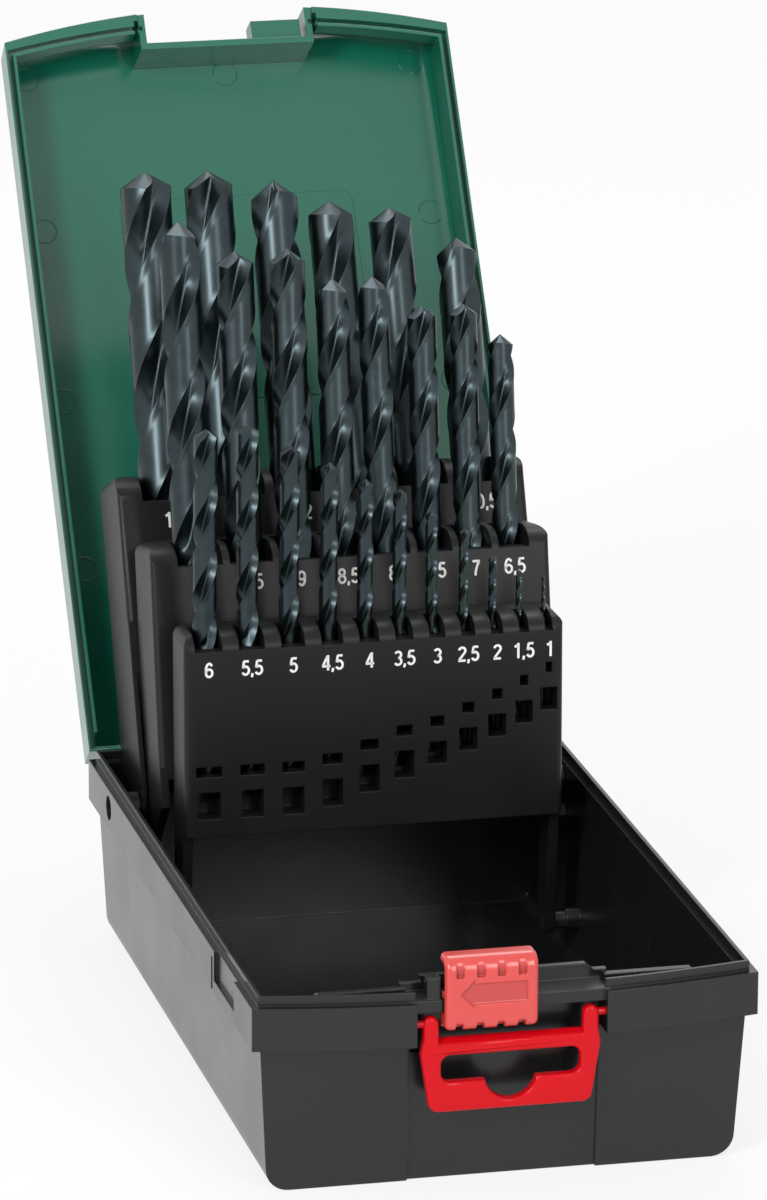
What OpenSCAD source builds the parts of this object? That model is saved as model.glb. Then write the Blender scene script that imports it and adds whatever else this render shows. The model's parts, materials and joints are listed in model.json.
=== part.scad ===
// Drill bit case: an open plastic case with a hinged lid and three drill banks that fan out
// when the lid opens. It is drawn standing open. Origin: centre of the base's underside,
// X to the right, Y to the rear, Z up.

/* [Base] */
// Width across the lip that the lid closes over
lip_w = 116.4; // [110:0.2:130]
// Length of the lip, front to rear at the corners
lip_l = 189.2; // [186:0.2:196]
// Height from the ground to the top of the lip
base_h = 48.6; // [46:0.1:52]
// Wall thickness of the base
base_wall = 2; // [1.6:0.1:2.4]
// How far each side wall leans in from the lip to the ground
side_draft = 2.3; // [0:0.1:4]
// How far the front wall leans in
front_draft = 2.6; // [0:0.1:4]
// How far the rear wall leans in
rear_draft = 0.8; // [0:0.1:2]
// Radius of the long bottom edges
bottom_r = 5.5; // [3:0.5:8]
// How far the front of the rim bows forward at its middle
bow = 6.2; // [3:0.1:8]
// Width of the ledge outside the lip, at the sides and the front
ledge_w = 1.8; // [1.2:0.1:2.4]
// Width of the ledge at the rear
rear_ledge = 0.8; // [0.6:0.1:1]
// Height of the lip above the ledge
lip_h = 2.4; // [1.6:0.1:3]
// Thickness of the lip
lip_t = 1; // [0.8:0.1:1.4]
// Height of the skirt that hangs from the ledge
skirt_h = 10.3; // [8:0.1:12]
// Thickness of the skirt and of the ledge
skirt_t = 1.2; // [1:0.1:1.6]

/* [Latch bay] */
// Width of the bay in the front wall
bay_w = 45; // [42:0.5:50]
// Place of the bay wall's face behind the front of the lip
bay_y = 2.2; // [1.8:0.1:2.6]
// Thickness of the bay wall
bay_wall = 1.6; // [1.2:0.1:2]
// Height of the bay wall's top above the lip
bay_rise = 1.6; // [0.6:0.1:2.2]
// How far the bay reaches below the skirt
bay_depth = 4; // [2:0.5:8]
// Depth of the shallow panel below the bay
panel_depth = 1; // [0.5:0.1:1.4]
// Front face of the latch rail, in front of the lip's corner
rail_front = 5.3; // [5:0.1:6]
// Height of the rail's top above the ledge
rail_rise = 0.3; // [0:0.1:0.6]
// Height of the rail's flange
rail_h = 3; // [2.4:0.1:3.2]
// Thickness of the rail's shelf
shelf_t = 1.2; // [1:0.1:1.6]
// Thickness of the rail's flange
flange_t = 1.6; // [1.2:0.1:1.8]
// Width of the post that stops the open slider
stop_w = 3.2; // [2:0.1:4]
// Height of the post above the rail
stop_h = 5.1; // [4:0.1:6]

/* [Lid] */
// How far the lid's rim stands out past the lip at each side
lid_over = 0.7; // [0.5:0.1:1.2]
// How far the lid's front corners stand in front of the lip's
lid_front = 2.3; // [1.8:0.1:2.6]
// How far the lid's rear face stands behind the lip
lid_rear = 0.75; // [0.6:0.05:0.8]
// Height of the lid from its rim to its top
lid_h = 16.7; // [15:0.1:20]
// Thickness of the lid's top panel
lid_t = 2; // [1.5:0.1:2.4]
// Thickness of the lid's walls
lid_wall = 1.7; // [1.5:0.1:2]
// Radius of the lid's outer edges
lid_r = 4.8; // [3:0.1:6]
// How far each of the lid's walls leans in towards its top
lid_draft = 0.9; // [0.4:0.1:1.4]
// How far the front of the lid bows forward at its middle
lid_bow = 7.4; // [6:0.1:9]
// Room at each side between the notch in the lid's front edge and the bay's sides
notch_side = 1.2; // [0.8:0.1:2]
// Place of the notch's back wall, from the lip's corner
notch_y = -0.7; // [-0.9:0.1:-0.5]
// Width of the tab that the latch slider holds
tab_w = 13; // [8:0.5:14]
// Lower and upper edge of the tab above the lid's rim
tab_z = [2, 8.3];
// Height of the inner lip behind the lid's groove
inner_lip_h = 5; // [4:0.5:6]
// Angle between the closed and the open lid
lid_angle = 124.3; // [110:0.1:130]

/* [Hinge] */
// Depth of the hinge axis below the ledge's top
hinge_drop = 0.8; // [0.7:0.05:1]
// Distance of the hinge axis behind the lid's rear face
hinge_back = 2.35; // [2.25:0.05:2.6]
// Distance of each hinge from the middle of the case
hinge_x = 34; // [24:0.5:44]
// Width of the base's knuckle in each hinge
base_knuckle_w = 10; // [6:0.5:14]
// Width of the lid's knuckles on both sides of it
lid_knuckle_w = 6; // [4:0.5:8]
// Gap between neighbouring knuckles
knuckle_gap = 0.3; // [0.2:0.05:0.5]
// Radius of the hinge knuckles
knuckle_r = 2; // [1.8:0.1:2.1]
// Radius of the hinge pins
hinge_pin_r = 1; // [0.8:0.1:1.2]

/* [Banks: front, middle, rear] */
// How far each open bank leans back from upright, in degrees
bank_tilt = [1.3, 11.4, 22.8];
// Distance of each open bank's front face ahead of the lip's rear, at the height of the rim
bank_ahead = [58.3, 42.8, 27];
// Distance of each bank's sides from the outer faces of the lip
bank_inset = [10.6, 7.75, 6];
// Thickness of each bank
bank_t = [13.6, 19.8, 23];
// Height of each notched front edge above the rim, along the bank
bank_edge = [41.8, 57.3, 69.8];
// Height of each bank's back wall above its notched edge
bank_rise = [4, 5, 7.5];
// Underside of each bank's block, along the bank from the rim
bank_low = [-5.2, 5, -2.5];
// Height of each bank's front face above the ground when it is folded
bank_fold_z = [2.4, 16.3, 36.5];
// Distance of each pivot behind the bank's front face
pivot_back = [10, 17, 5];
// Distance of the drill axes behind each bank's front face
drill_back = [6.6, 9.9, 11.8];
// Thickness of each bank's side plates
cheek_t = [2.6, 2.2, 1.3];
// Radius of each bank's upper corners, seen from the front
corner_r = [3, 3, 3];
// Radius of each bank's upright front edges
front_edge_r = [1.5, 1.5, 1.5];
// Radius of each side plate round its pivot
cheek_r = [3.4, 2.7, 3.6];
// How far the rear bank's lower front is set back, to clear the bank before it
heel_in = 5.3; // [5.3:0.1:7]
// How far the rear bank's lower back is cut away
back_in = 3.4; // [0:0.1:6]

/* [Drills] */
// Room left of the first drill in each bank, out to the bank's side
end_left = [3.1, 7.45, 7.1];
// Room right of the last drill in each bank, out to the bank's side
end_right = [3.2, 5.75, 6.3];
// Play of a drill in its pocket, for each bank
pocket_play = [0.9, 1.3, 1.8];
// Height of a standing drill above the floor of its pocket
foot_gap = 0.15; // [0.1:0.05:0.3]
// Point angle of the drills
point_angle = 118; // [110:1:135]
// Helix angle of the drill flutes
helix = 29; // [20:1:35]

/* [Windows in the front bank] */
// Height of the larger windows under the thick drills and under the thin ones
window_h = [6.8, 5.6];
// Width of the larger windows: a fixed part, and a share of the drill's diameter
window_w = 4; // [3:0.1:5]
window_share = 0.27; // [0.1:0.01:0.4]
// Rise of the windows from one drill to the next
window_step = 3; // [2:0.1:3.4]
// Width of the wall between the larger and the smaller window
window_bar = 3.9; // [3:0.1:5]
// Height of the smaller windows
small_window_h = 2.6; // [2:0.1:3.4]
// How much wider than its drill each smaller window is
small_window_play = 0.6; // [0.4:0.1:1]

/* [Latch and hanger] */
// Width of the latch slider
slider_w = 22; // [20:0.5:24]
// Left end of the open slider
slider_x = -16; // [-17:0.1:-15]
// Front face of the slider, in front of the lip's corner
slider_front = 8; // [7.5:0.1:9]
// How far the slider hangs below the rail's flange
slider_below = 4.1; // [3:0.1:5]
// Height of the slider
slider_h = 17.6; // [17:0.1:18]
// Thickness of the slider's wall
slider_t = 1.7; // [1.4:0.1:2]
// Radius of the slider's upper front edge
slider_r = 3; // [2:0.1:3.5]
// Gap between the slider and what it slides along or past
slide_fit = 0.3; // [0.2:0.05:0.4]
// Grips along each edge of the slider: number, spacing, width and depth
grips = 4; // [3:1:4]
grip_step = 4.9; // [4:0.1:5.2]
grip_w = 1.8; // [1:0.1:2.4]
grip_depth = 0.8; // [0.4:0.1:1]
// Depth of the arrow in the slider's face
arrow_depth = 0.4; // [0.2:0.1:0.8]
// Room at each side between the hanger's shoulders and the bay's sides
hanger_side = 1.2; // [0.8:0.1:2]
// Thickness of the hanger
hanger_t = 3; // [2:0.1:3.5]
// Depth of the hanger's pivot below the rail's flange
hanger_drop = 2.7; // [2.7:0.1:3.1]
// Place of the hanger's pivot in front of the lip's corner
hanger_y = 4.7; // [4:0.1:5]
// Height of the hanger from its lower edge to its pivot
hanger_h = 21.5; // [17:0.1:23]
// Radius of the hanger's pins
hanger_pin_r = 0.9; // [0.7:0.1:1]
// Width of the hanger's arms
arm_w = 3.7; // [3:0.1:4]
// Width, height and corner radius of the hanger's slot
slot_w = 33; // [28:0.2:34]
slot_h = 6.4; // [5:0.1:6.8]
slot_r = 2.2; // [1:0.1:2.5]
// Radius of the round hole that opens down from the slot's middle
hook_r = 6.2; // [5:0.1:6.6]

/* [Fits] */
// Radial clearance of a pin that turns in its bore
turn_fit = 0.05; // [0.02:0.01:0.1]
// Radial clearance of a pin that stays in its bore
press_fit = 0.01; // [0.01:0.01:0.02]
// Clearance between the base's lip and the lid's groove
groove_fit = 0.15; // [0.1:0.05:0.3]
// Gap between the closed lid's rim and the base's ledge
rim_gap = 0.1; // [0.05:0.05:0.2]
// Radius of the bank pivot pins
pivot_r = 2.2; // [2:0.1:2.4]
// Gap between each bank's side and the boss that carries its pivot
boss_gap = [3.2, 2.15, 0.4];
// Radius of each boss
boss_r = [2.9, 3.3, 3.7];
// Wall left outside the front and the middle pivot bores, out to the lip's face
pivot_cover = [3, 2];

/* [Hidden] */
$fn = 48;
big = 400;
cut = 1;

base_colour = "#1d1e20";
bank_colour = "#2a2b2d";
lid_colour = "#17694f";
red_colour = "#d61a22";
steel_colour = "#3c4348";
pin_colour = "#26272a";

hw = lip_w / 2;
ledge_z = base_h - lip_h;
skirt_z = ledge_z - skirt_h;
bay_low = skirt_z - bay_depth;
bay_top = base_h + bay_rise;
rail_z1 = ledge_z + rail_rise;
rail_z0 = rail_z1 - rail_h;
lid_w = lip_w + 2 * lid_over;
lid_l = lip_l + lid_front + lid_rear;
lid_rim_z = ledge_z + rim_gap;
lid_top = lid_rim_z + lid_h;
notch_w = bay_w - 2 * notch_side;
hinge_y = lip_l + lid_rear + hinge_back;
hinge_z = ledge_z - hinge_drop;
slider_z = [rail_z0 - slider_below, rail_z0 - slider_below + slider_h];
stop_x = [slider_x - slide_fit - 0.2 - stop_w, slider_x - slide_fit - 0.2];
tab_front = slider_front - slider_t - slide_fit;
tab_x = [slider_x + slider_w + 1, slider_x + slider_w + 1 + tab_w];
hanger_w = bay_w - 2 * hanger_side;
hanger_z = rail_z0 - hanger_drop;
bow_fn = 360;

// Overlap that joins a shape to the wall that it stands on
weld = 0.4;
// Thickness of the walls at the bay's sides
side_t = 2;
// Distance of the slider's stop behind the rail's front
stop_in = 0.7;
// Runs of the notch and of the slit in each side ledge, from the front, and their heights
NOTCH_RUN = [18, 40];
SLIT_RUN = [41.5, 43];
ledge_notch_foot = 3;
slit_top = 2;
// Depth of the straight inner front wall below the lip's top
inner_wall_drop = 0.6;
// Radius of the rear pivot bores' mouths, and the room at the end of the blind bores
pivot_mouth_r = 3.1;
pin_room = 0.65;
// Half length of each hinge pin
pin_reach = base_knuckle_w / 2 + lid_knuckle_w;
// Thickness of the lid's inner lip, and how far it ends before the rear
inner_lip_t = 0.95;
swing_room = 4.2;
// Heights on the rear bank where its faces are drawn in
heel_z = 2;
heel_top = 28;
back_z = 10;
// Heights of the lowest windows and of the first one that rises, and its place in the row
window_low = -0.6;
window_z = 0.8;
window_first = 3;
// Back edges of the slider's hooks, and the grips' shift to the left
hook_y = -2;
grip_shift = 0.25;
// Arrow on the slider, from its middle
ARROW = [[-7.6, 0], [-4, 3.6], [-4, 2.5], [8.4, 2.5], [8.4, -2.5], [-4, -2.5], [-4, -3.6]];
// Hanger: shoulders, crossbar, slot and hook hole below the pivot
shoulder_in = 1.8;
shoulder_drop = 7.3;
bar_drop = 3.5;
slot_drop = 7.8;
// Height of the hook hole's centre above the slot's lower edge
hook_rise = 1.2;

FRONT = 0;
MIDDLE = 1;
REAR = 2;

// Overall and fluted length of a standard jobber drill, by diameter
JOBBER = [
    [1, 34, 12], [1.5, 40, 18], [2, 49, 24], [2.5, 57, 30], [3, 61, 33], [3.5, 70, 39], [4, 75, 43],
    [4.5, 80, 47], [5, 86, 52], [5.5, 93, 57], [6, 93, 57], [6.5, 101, 63], [7, 109, 69], [7.5, 109, 69],
    [8, 117, 75], [8.5, 117, 75], [9, 125, 81], [9.5, 125, 81], [10, 133, 87], [10.5, 133, 87],
    [11, 142, 94], [11.5, 142, 94], [12, 151, 101], [12.5, 151, 101], [13, 151, 101]
];
function drill_length(d) = lookup(d, [for (row = JOBBER) [row[0], row[1]]]);
function flute_length(d) = lookup(d, [for (row = JOBBER) [row[0], row[2]]]);

// Half of a two-flute drill's cross-section: angle, and reach as a share of the radius
FLUTE_SECTION = [[-52, 1], [-30, 1], [-5, 1], [22, 1], [40, 1], [56, 0.66], [76, 0.34], [104, 0.34]];
// Rings of points in one turn of a flute
steps_per_turn = 10;
// Reach of a drill's lands as a share of its shank's radius
body_share = 0.985;
// Where the flutes run out above the shank, in radii
flute_run_out = 1.2;
// How the fluted body is rooted in the shank: its share of the radius, and its depth
root_share = 0.97;
root_depth = 0.4;

// Diameters in each bank, from left to right, half a millimetre apart
SIZES = [
    [for (n = [0:10]) 6 - n / 2],
    [for (n = [0:7]) 10 - n / 2],
    [for (n = [0:5]) 13 - n / 2]
];
// Height of each pocket's floor above the rim, along the bank
POCKET_FLOOR = [
    [2.9, 3.5, 4.8, 6, 6.2, 8.2, 11.2, 10.2, 10.8, 15.9, 19.8],
    [for (n = [0:7]) 8.4],
    [3.4, 3, -0.4, 2.6, 0.2, 0.6]
];
// Sideways lean of each drill in its loose pocket, in degrees
LEAN = [
    [0.8, 0.4, 0.7, 0.8, 0.6, 0.4, 0, 0.6, 0.7, 0.6, 0.5],
    [0, 0.6, 1.1, 0.7, 0, 0.9, 1.1, 0.7],
    [1.1, 0.7, 0.9, 0, 0, 1.1]
];
function sum_to(list, n) = n <= 0 ? 0 : list[n - 1] + sum_to(list, n - 1);
function bank_w(b) = lip_w - 2 * bank_inset[b];
function bank_top(b) = bank_edge[b] + bank_rise[b];
// Gap between neighbouring drills, which share out the bank's width
function drill_gap(b) = let (count = len(SIZES[b]))
    (bank_w(b) - end_left[b] - end_right[b] - sum_to(SIZES[b], count)) / (count - 1);
function drill_x(b, n) =
    -bank_w(b) / 2 + end_left[b] + sum_to(SIZES[b], n) + SIZES[b][n] / 2 + n * drill_gap(b);
function bank_of(d) = d > 10.2 ? REAR : d > 6.2 ? MIDDLE : FRONT;
function place_of(d) = round((SIZES[bank_of(d)][0] - d) * 2);

// Where a bank's pivot lies along the bank, so that the folded bank lies at its own height
function pivot_up(b) =
    (bank_fold_z[b] + pivot_back[b] * (1 + sin(bank_tilt[b])) - base_h) / cos(bank_tilt[b]);

// ---- frames ----

// From the case's own frame, where Y is 0 at the lip's front corners, to the part's frame
module in_case() {
    translate([0, -lip_l / 2, 0]) children();
}

// A bank's frame: X across, Y back from its front face, Z up along it from the rim
module in_bank(b) {
    in_case() translate([0, lip_l - bank_ahead[b], base_h]) rotate([-bank_tilt[b], 0, 0]) children();
}

// Swings what is drawn for the closed lid to the open lid
module lid_open() {
    in_case() translate([0, hinge_y, hinge_z]) rotate([-lid_angle, 0, 0])
        translate([0, -hinge_y, -hinge_z]) children();
}

// A profile in Y and Z, drawn out across X
module across(x0, x1) {
    translate([x0, 0, 0]) rotate([90, 0, 90]) linear_extrude(x1 - x0) children();
}

// A profile in X and Z, drawn out along Y
module along(y0, y1) {
    translate([0, y1, 0]) rotate([90, 0, 0]) linear_extrude(y1 - y0) children();
}

module box(x, y, z) {
    translate([x[0], y[0], z[0]]) cube([x[1] - x[0], y[1] - y[0], z[1] - z[0]]);
}

module rod(r, x0, x1, y, z) {
    translate([x0, y, z]) rotate([0, 90, 0]) cylinder(r = r, h = x1 - x0);
}

module both_sides() {
    children();
    mirror([1, 0, 0]) children();
}

function arc_points(cx, cy, r, a0, a1, n) = [
    for (i = [0:n]) let (a = a0 + (a1 - a0) * i / n) [cx + r * cos(a), cy + r * sin(a)]
];

// ---- base ----

// Outline with a bowed front: half width hx, corners at y0, bow by, rear at y1, grown outward by o
module bowed_outline(hx, y0, y1, by, o, rear_o) {
    bow_r = (hx * hx + by * by) / (2 * by);
    intersection() {
        translate([-hx - o, y0 - by - o - cut]) square([2 * (hx + o), y1 + rear_o - y0 + by + o + cut]);
        translate([0, y0 + bow_r - by]) circle(r = bow_r + o, $fn = bow_fn);
    }
}

// Outline of the base's lip, grown outward by o, and by rear_o at the rear
module rim_outline(o, rear_o) {
    bowed_outline(hw, 0, lip_l, bow, o, rear_o);
}

// The base's body without its skirt: o is how far it is inside the outer wall
module body_block(o, z0, z1) {
    bx = hw - side_draft - o;
    tx = hw - o;
    r = max(bottom_r - o, 1);
    intersection() {
        along(-cut, lip_l + cut) polygon(concat(
            arc_points(-bx + r, z0 + r, r, 180, 270, 8),
            arc_points(bx - r, z0 + r, r, 270, 360, 8),
            [[tx, z1], [-tx, z1]]
        ));
        across(-hw - cut, hw + cut) polygon([
            [front_draft + o, z0], [lip_l - rear_draft - o, z0], [lip_l - o, z1], [o, z1]
        ]);
    }
}

module rim_and_skirt() {
    difference() {
        translate([0, 0, skirt_z]) linear_extrude(skirt_h) rim_outline(ledge_w, rear_ledge);
        translate([0, 0, skirt_z - cut]) linear_extrude(skirt_h + cut - skirt_t)
            rim_outline(ledge_w - skirt_t, rear_ledge - skirt_t);
        // shallow notch in each side ledge, and a slit behind it
        both_sides() box([hw + ledge_w / 2, big], NOTCH_RUN, [skirt_z + ledge_notch_foot, base_h]);
        both_sides() box([hw + ledge_w - skirt_t, big], SLIT_RUN, [skirt_z - cut, ledge_z - slit_top]);
    }
    translate([0, 0, ledge_z - cut]) linear_extrude(lip_h + cut) difference() {
        rim_outline(0, 0);
        rim_outline(-lip_t, -lip_t);
    }
}

// Walls and rail of the latch bay
module latch_bay() {
    bay = bay_w / 2;
    side_y = -bow - ledge_w + flange_t;
    // the bay wall, which stands above the lip and slopes down to it at the right
    along(bay_y, bay_y + bay_wall) polygon([
        [-bay - side_t, bay_low - side_t], [bay + side_t, bay_low - side_t], [bay + side_t, base_h],
        [bay - 1, base_h], [bay - 3, bay_top], [stop_x[0], bay_top], [stop_x[0], base_h], [-bay - side_t, base_h]
    ]);
    // side walls that carry the hanger's pivots
    both_sides() box([bay, bay + side_t], [side_y, bay_y + bay_wall], [skirt_z, ledge_z]);
    // the rail: a shelf with a flange along its front
    box([-bay - cut, bay + cut], [-rail_front, bay_y + cut], [rail_z1 - shelf_t, rail_z1]);
    box([-bay - cut, bay + cut], [-rail_front, flange_t - rail_front], [rail_z0, rail_z1]);
    // stop for the open slider
    box(stop_x, [stop_in - rail_front, stop_in - rail_front + stop_w], [rail_z1 - cut, rail_z1 + stop_h]);
}

// Boss and bore for one bank pivot in both side walls
module pivot_boss(b) {
    in_bank(b) both_sides() rod(boss_r[b], bank_w(b) / 2 + boss_gap[b], hw, pivot_back[b], pivot_up(b));
}

// The front and the middle bores are blind; the rear one comes out below the ledge
function bore_end(b) = b == REAR ? big : hw - pivot_cover[b];
module pivot_bore(b) {
    in_bank(b) both_sides()
        rod(pivot_r + press_fit, bank_w(b) / 2 - cheek_t[b], bore_end(b), pivot_back[b], pivot_up(b));
}

module base_knuckle(x0, x1) {
    rod(knuckle_r, x0, x1, hinge_y, hinge_z);
    box([x0, x1], [lip_l + rear_ledge - weld, hinge_y], [hinge_z - 2.5 * knuckle_r, hinge_z - 0.3 * knuckle_r]);
}

module base_shell() {
    bay = bay_w / 2;
    color(base_colour) difference() {
        union() {
            in_case() difference() {
                union() {
                    body_block(0, 0, ledge_z);
                    rim_and_skirt();
                }
                // the tray
                body_block(base_wall, base_wall, ledge_z + cut);
                // the latch bay, and the shallow panel below it
                box([-bay, bay], [-2 * bow, bay_y + cut], [bay_low, base_h + cut]);
                across(-bay, bay) polygon([
                    [-cut, -cut], [front_draft + panel_depth, -cut], [panel_depth, ledge_z], [-cut, ledge_z]
                ]);
            }
            in_case() latch_bay();
            // panel below the bay, set back from the front wall
            in_case() across(-bay - cut, bay + cut) polygon([
                [front_draft + panel_depth, 0], [front_draft + panel_depth + bay_wall, 0],
                [panel_depth + bay_wall, skirt_z], [bay_y + bay_wall, skirt_z],
                [bay_y + bay_wall, bay_low], [panel_depth + weld, bay_low]
            ]);
            // straight inner front wall behind the bowed rim
            in_case() both_sides() along(0, base_wall) polygon([
                [bay + 1, ledge_z - 2], [hw - 10, ledge_z - 2],
                [hw - 14, base_h - inner_wall_drop], [bay + 1, base_h - inner_wall_drop]
            ]);
            for (b = [FRONT, MIDDLE, REAR]) pivot_boss(b);
            in_case() both_sides() base_knuckle(hinge_x - base_knuckle_w / 2, hinge_x + base_knuckle_w / 2);
        }
        // nothing of the bosses outside the walls
        in_case() difference() {
            box([-big, big], [-cut, lip_l + cut], [-cut, skirt_z]);
            body_block(0, 0, ledge_z);
        }
        for (b = [FRONT, MIDDLE, REAR]) pivot_bore(b);
        // a wider mouth for the rear pins
        in_bank(REAR) both_sides() rod(pivot_mouth_r, hw - weld, big, pivot_back[REAR], pivot_up(REAR));
        in_case() both_sides()
            rod(hinge_pin_r + press_fit, hinge_x - base_knuckle_w, hinge_x + base_knuckle_w, hinge_y, hinge_z);
        in_case() both_sides() rod(hanger_pin_r + press_fit, bay - cut, bay + side_t + cut, -hanger_y, hanger_z);
    }
}

// ---- lid, drawn closed ----

module lid_outline(o) {
    bowed_outline(lid_w / 2, -lid_front, lid_l - lid_front, lid_bow, o, o);
}

// The lid's block, o inside its outer face, up to z1
module lid_block(o, z0, z1, r) {
    lw = lid_w / 2 - o;
    lean = lid_draft;
    y0 = -lid_front - lid_bow + o;
    y1 = lid_l - lid_front - o;
    intersection() {
        along(-big, big) polygon(concat(
            [[-lw, z0], [lw, z0]],
            arc_points(lw - lean - r, z1 - r, r, 0, 90, 8),
            arc_points(-lw + lean + r, z1 - r, r, 90, 180, 8)
        ));
        across(-big, big) polygon(concat(
            [[y1, z0]],
            arc_points(y1 - lean / 2 - r, z1 - r, r, 0, 90, 8),
            arc_points(y0 + lean / 2 + r, z1 - r, r, 90, 180, 8),
            [[y0, z0]]
        ));
        translate([0, 0, z0 - cut]) linear_extrude(z1 - z0 + 2 * cut) difference() {
            lid_outline(-o);
            translate([-notch_w / 2 - o, -big]) square([notch_w + 2 * o, big + notch_y + o]);
        }
    }
}

module lid_knuckle(x0, x1) {
    rod(knuckle_r, x0, x1, hinge_y, hinge_z);
    box([x0, x1], [lip_l + lid_rear - weld, hinge_y + 0.7 * knuckle_r], [lid_rim_z, hinge_z + 2.25 * knuckle_r]);
}

module lid_shell() {
    outer_knuckle = base_knuckle_w / 2 + knuckle_gap;
    color(lid_colour) lid_open() difference() {
        union() {
            difference() {
                lid_block(0, lid_rim_z, lid_top, lid_r);
                lid_block(lid_wall, lid_rim_z - cut, lid_top - lid_t, lid_r - lid_wall);
            }
            // inner lip behind the groove; it ends before the rear, where the base's lip swings past
            intersection() {
                translate([0, 0, lid_rim_z]) linear_extrude(inner_lip_h) difference() {
                    lid_outline(-weld);
                    rim_outline(-lip_t - inner_lip_t, -lip_t - inner_lip_t);
                    translate([-big / 2, lip_l - swing_room]) square(big);
                    translate([-notch_w / 2 - 3, -big / 2]) square([notch_w + 6, big / 2 + 20]);
                }
                lid_block(0, lid_rim_z, lid_top, lid_r);
            }
            // tab that the latch slider holds
            box(tab_x, [-tab_front, notch_y + weld], [lid_rim_z + tab_z[0], lid_rim_z + tab_z[1]]);
            both_sides() {
                lid_knuckle(hinge_x - outer_knuckle - lid_knuckle_w, hinge_x - outer_knuckle);
                lid_knuckle(hinge_x + outer_knuckle, hinge_x + outer_knuckle + lid_knuckle_w);
            }
        }
        // room for the rail
        box([-notch_w / 2 - 2, notch_w / 2 + 2], [-big, bay_y + bay_wall + 0.2], [lid_rim_z - cut, rail_z1 + 0.5]);
        // groove that takes the base's lip
        translate([0, 0, lid_rim_z - cut]) linear_extrude(cut + lip_h + groove_fit) difference() {
            rim_outline(groove_fit, groove_fit);
            rim_outline(-lip_t - groove_fit, -lip_t - 3);
            translate([-notch_w / 2 - 0.8, -big / 2]) square([notch_w + 1.6, big / 2 + 20]);
        }
        both_sides()
            rod(hinge_pin_r + turn_fit, hinge_x - pin_reach - cut, hinge_x + pin_reach + cut, hinge_y, hinge_z);
    }
}

module hinge_pins() {
    color(steel_colour) in_case() both_sides()
        rod(hinge_pin_r, hinge_x - pin_reach, hinge_x + pin_reach, hinge_y, hinge_z);
}

// ---- banks ----

// Side profile of a bank, from its front edge over the rounded top to its back
function top_profile(b) = let (rb = 0.42 * bank_t[b]) concat(
    [for (i = [0:6]) [rb * (1 - cos(15 * i)), bank_edge[b] + bank_rise[b] * sin(15 * i)]],
    [[bank_t[b] - 1, bank_top(b)], [bank_t[b], bank_top(b) - 1]]
);

// Lower side profile, from the back to the front; the rear bank's is drawn in at both faces
function low_profile(b) = b == REAR
    ? [
        [bank_t[b], back_z], [bank_t[b] - back_in, heel_z], [bank_t[b] - back_in, bank_low[b]],
        [heel_in, bank_low[b]], [heel_in, heel_z], [0, heel_top]
    ]
    : [[bank_t[b], bank_low[b]], [0, bank_low[b]]];

// Half of a rounded outline: up the side at x, with a corner of radius r at the height y
function half_round(x, y, r) = arc_points(x - r, y - r, r, 0, 90, 8);

module bank_block(b) {
    w = bank_w(b) / 2;
    low = bank_low[b] - cut;
    intersection() {
        across(-w, w) polygon(concat(top_profile(b), low_profile(b)));
        both_sides() along(-cut, bank_t[b] + cut)
            polygon(concat([[-cut, low], [w, low]], half_round(w, bank_top(b), corner_r[b]), [[-cut, bank_top(b)]]));
        translate([0, 0, low]) linear_extrude(bank_top(b) + cut - low) mirror([0, 1]) both_sides()
            polygon(concat([[-cut, -bank_t[b]], [w, -bank_t[b]]], half_round(w, 0, front_edge_r[b]), [[-cut, 0]]));
    }
}

// Side plates that carry the pivots
module bank_cheeks(b) {
    w = bank_w(b) / 2;
    p = [pivot_back[b], pivot_up(b)];
    r = cheek_r[b];
    foot = bank_low[b] + 3;
    both_sides() across(w - cheek_t[b], w) {
        if (b == FRONT) polygon([[p[0] - r, p[1]], [p[0] + r, p[1]], [bank_t[b], foot], [3, foot]]);
        if (b == MIDDLE) polygon([
            [p[0] - r, p[1]], [p[0] + r, p[1]], [bank_t[b], bank_low[b]], [bank_t[b], foot], [0, foot], [0, -2]
        ]);
        if (b == REAR) polygon([
            [p[0] - r, p[1]], [p[0] + r, p[1]], [bank_t[b] - back_in, 0], [bank_t[b], back_z + heel_z],
            [bank_t[b], 40], [0, 40], [0, -3]
        ]);
        translate(p) circle(r = r);
    }
}

module pocket(b, n) {
    w = SIZES[b][n] + pocket_play[b];
    x = [drill_x(b, n) - w / 2, drill_x(b, n) + w / 2];
    y = drill_back[b];
    box(x, [y - w / 2, y + w / 2], [POCKET_FLOOR[b][n], bank_top(b) + cut]);
    box(x, [-cut, y], [bank_edge[b], bank_top(b) + cut]);
}

// Two windows through the front wall at the foot of each front pocket
module windows(n) {
    d = SIZES[FRONT][n];
    x = drill_x(FRONT, n);
    z = max(window_low, window_z + window_step * (n - window_first));
    tall = n < 6 ? window_h[0] : window_h[1];
    large = window_w + window_share * d;
    small = d + small_window_play;
    y = [-cut, drill_back[FRONT]];
    box([x - large / 2, x + large / 2], y, [z, z + tall]);
    box([x - small / 2, x + small / 2], y, [z + tall + window_bar, z + tall + window_bar + small_window_h]);
}

module bank(b) {
    color(bank_colour) in_bank(b) difference() {
        union() {
            bank_block(b);
            bank_cheeks(b);
        }
        for (n = [0:len(SIZES[b]) - 1]) {
            pocket(b, n);
            if (b == FRONT) windows(n);
        }
        rod(pivot_r + turn_fit, -big, big, pivot_back[b], pivot_up(b));
    }
}

// Pins that end short of the blind bores; the rear ones reach into their bores' mouths
module pivot_pins(b) {
    x1 = b == REAR ? hw + weld : bore_end(b) - pin_room;
    color(pin_colour) in_bank(b) both_sides()
        rod(pivot_r, bank_w(b) / 2 - cheek_t[b], x1, pivot_back[b], pivot_up(b));
}

// ---- drills ----

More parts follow.
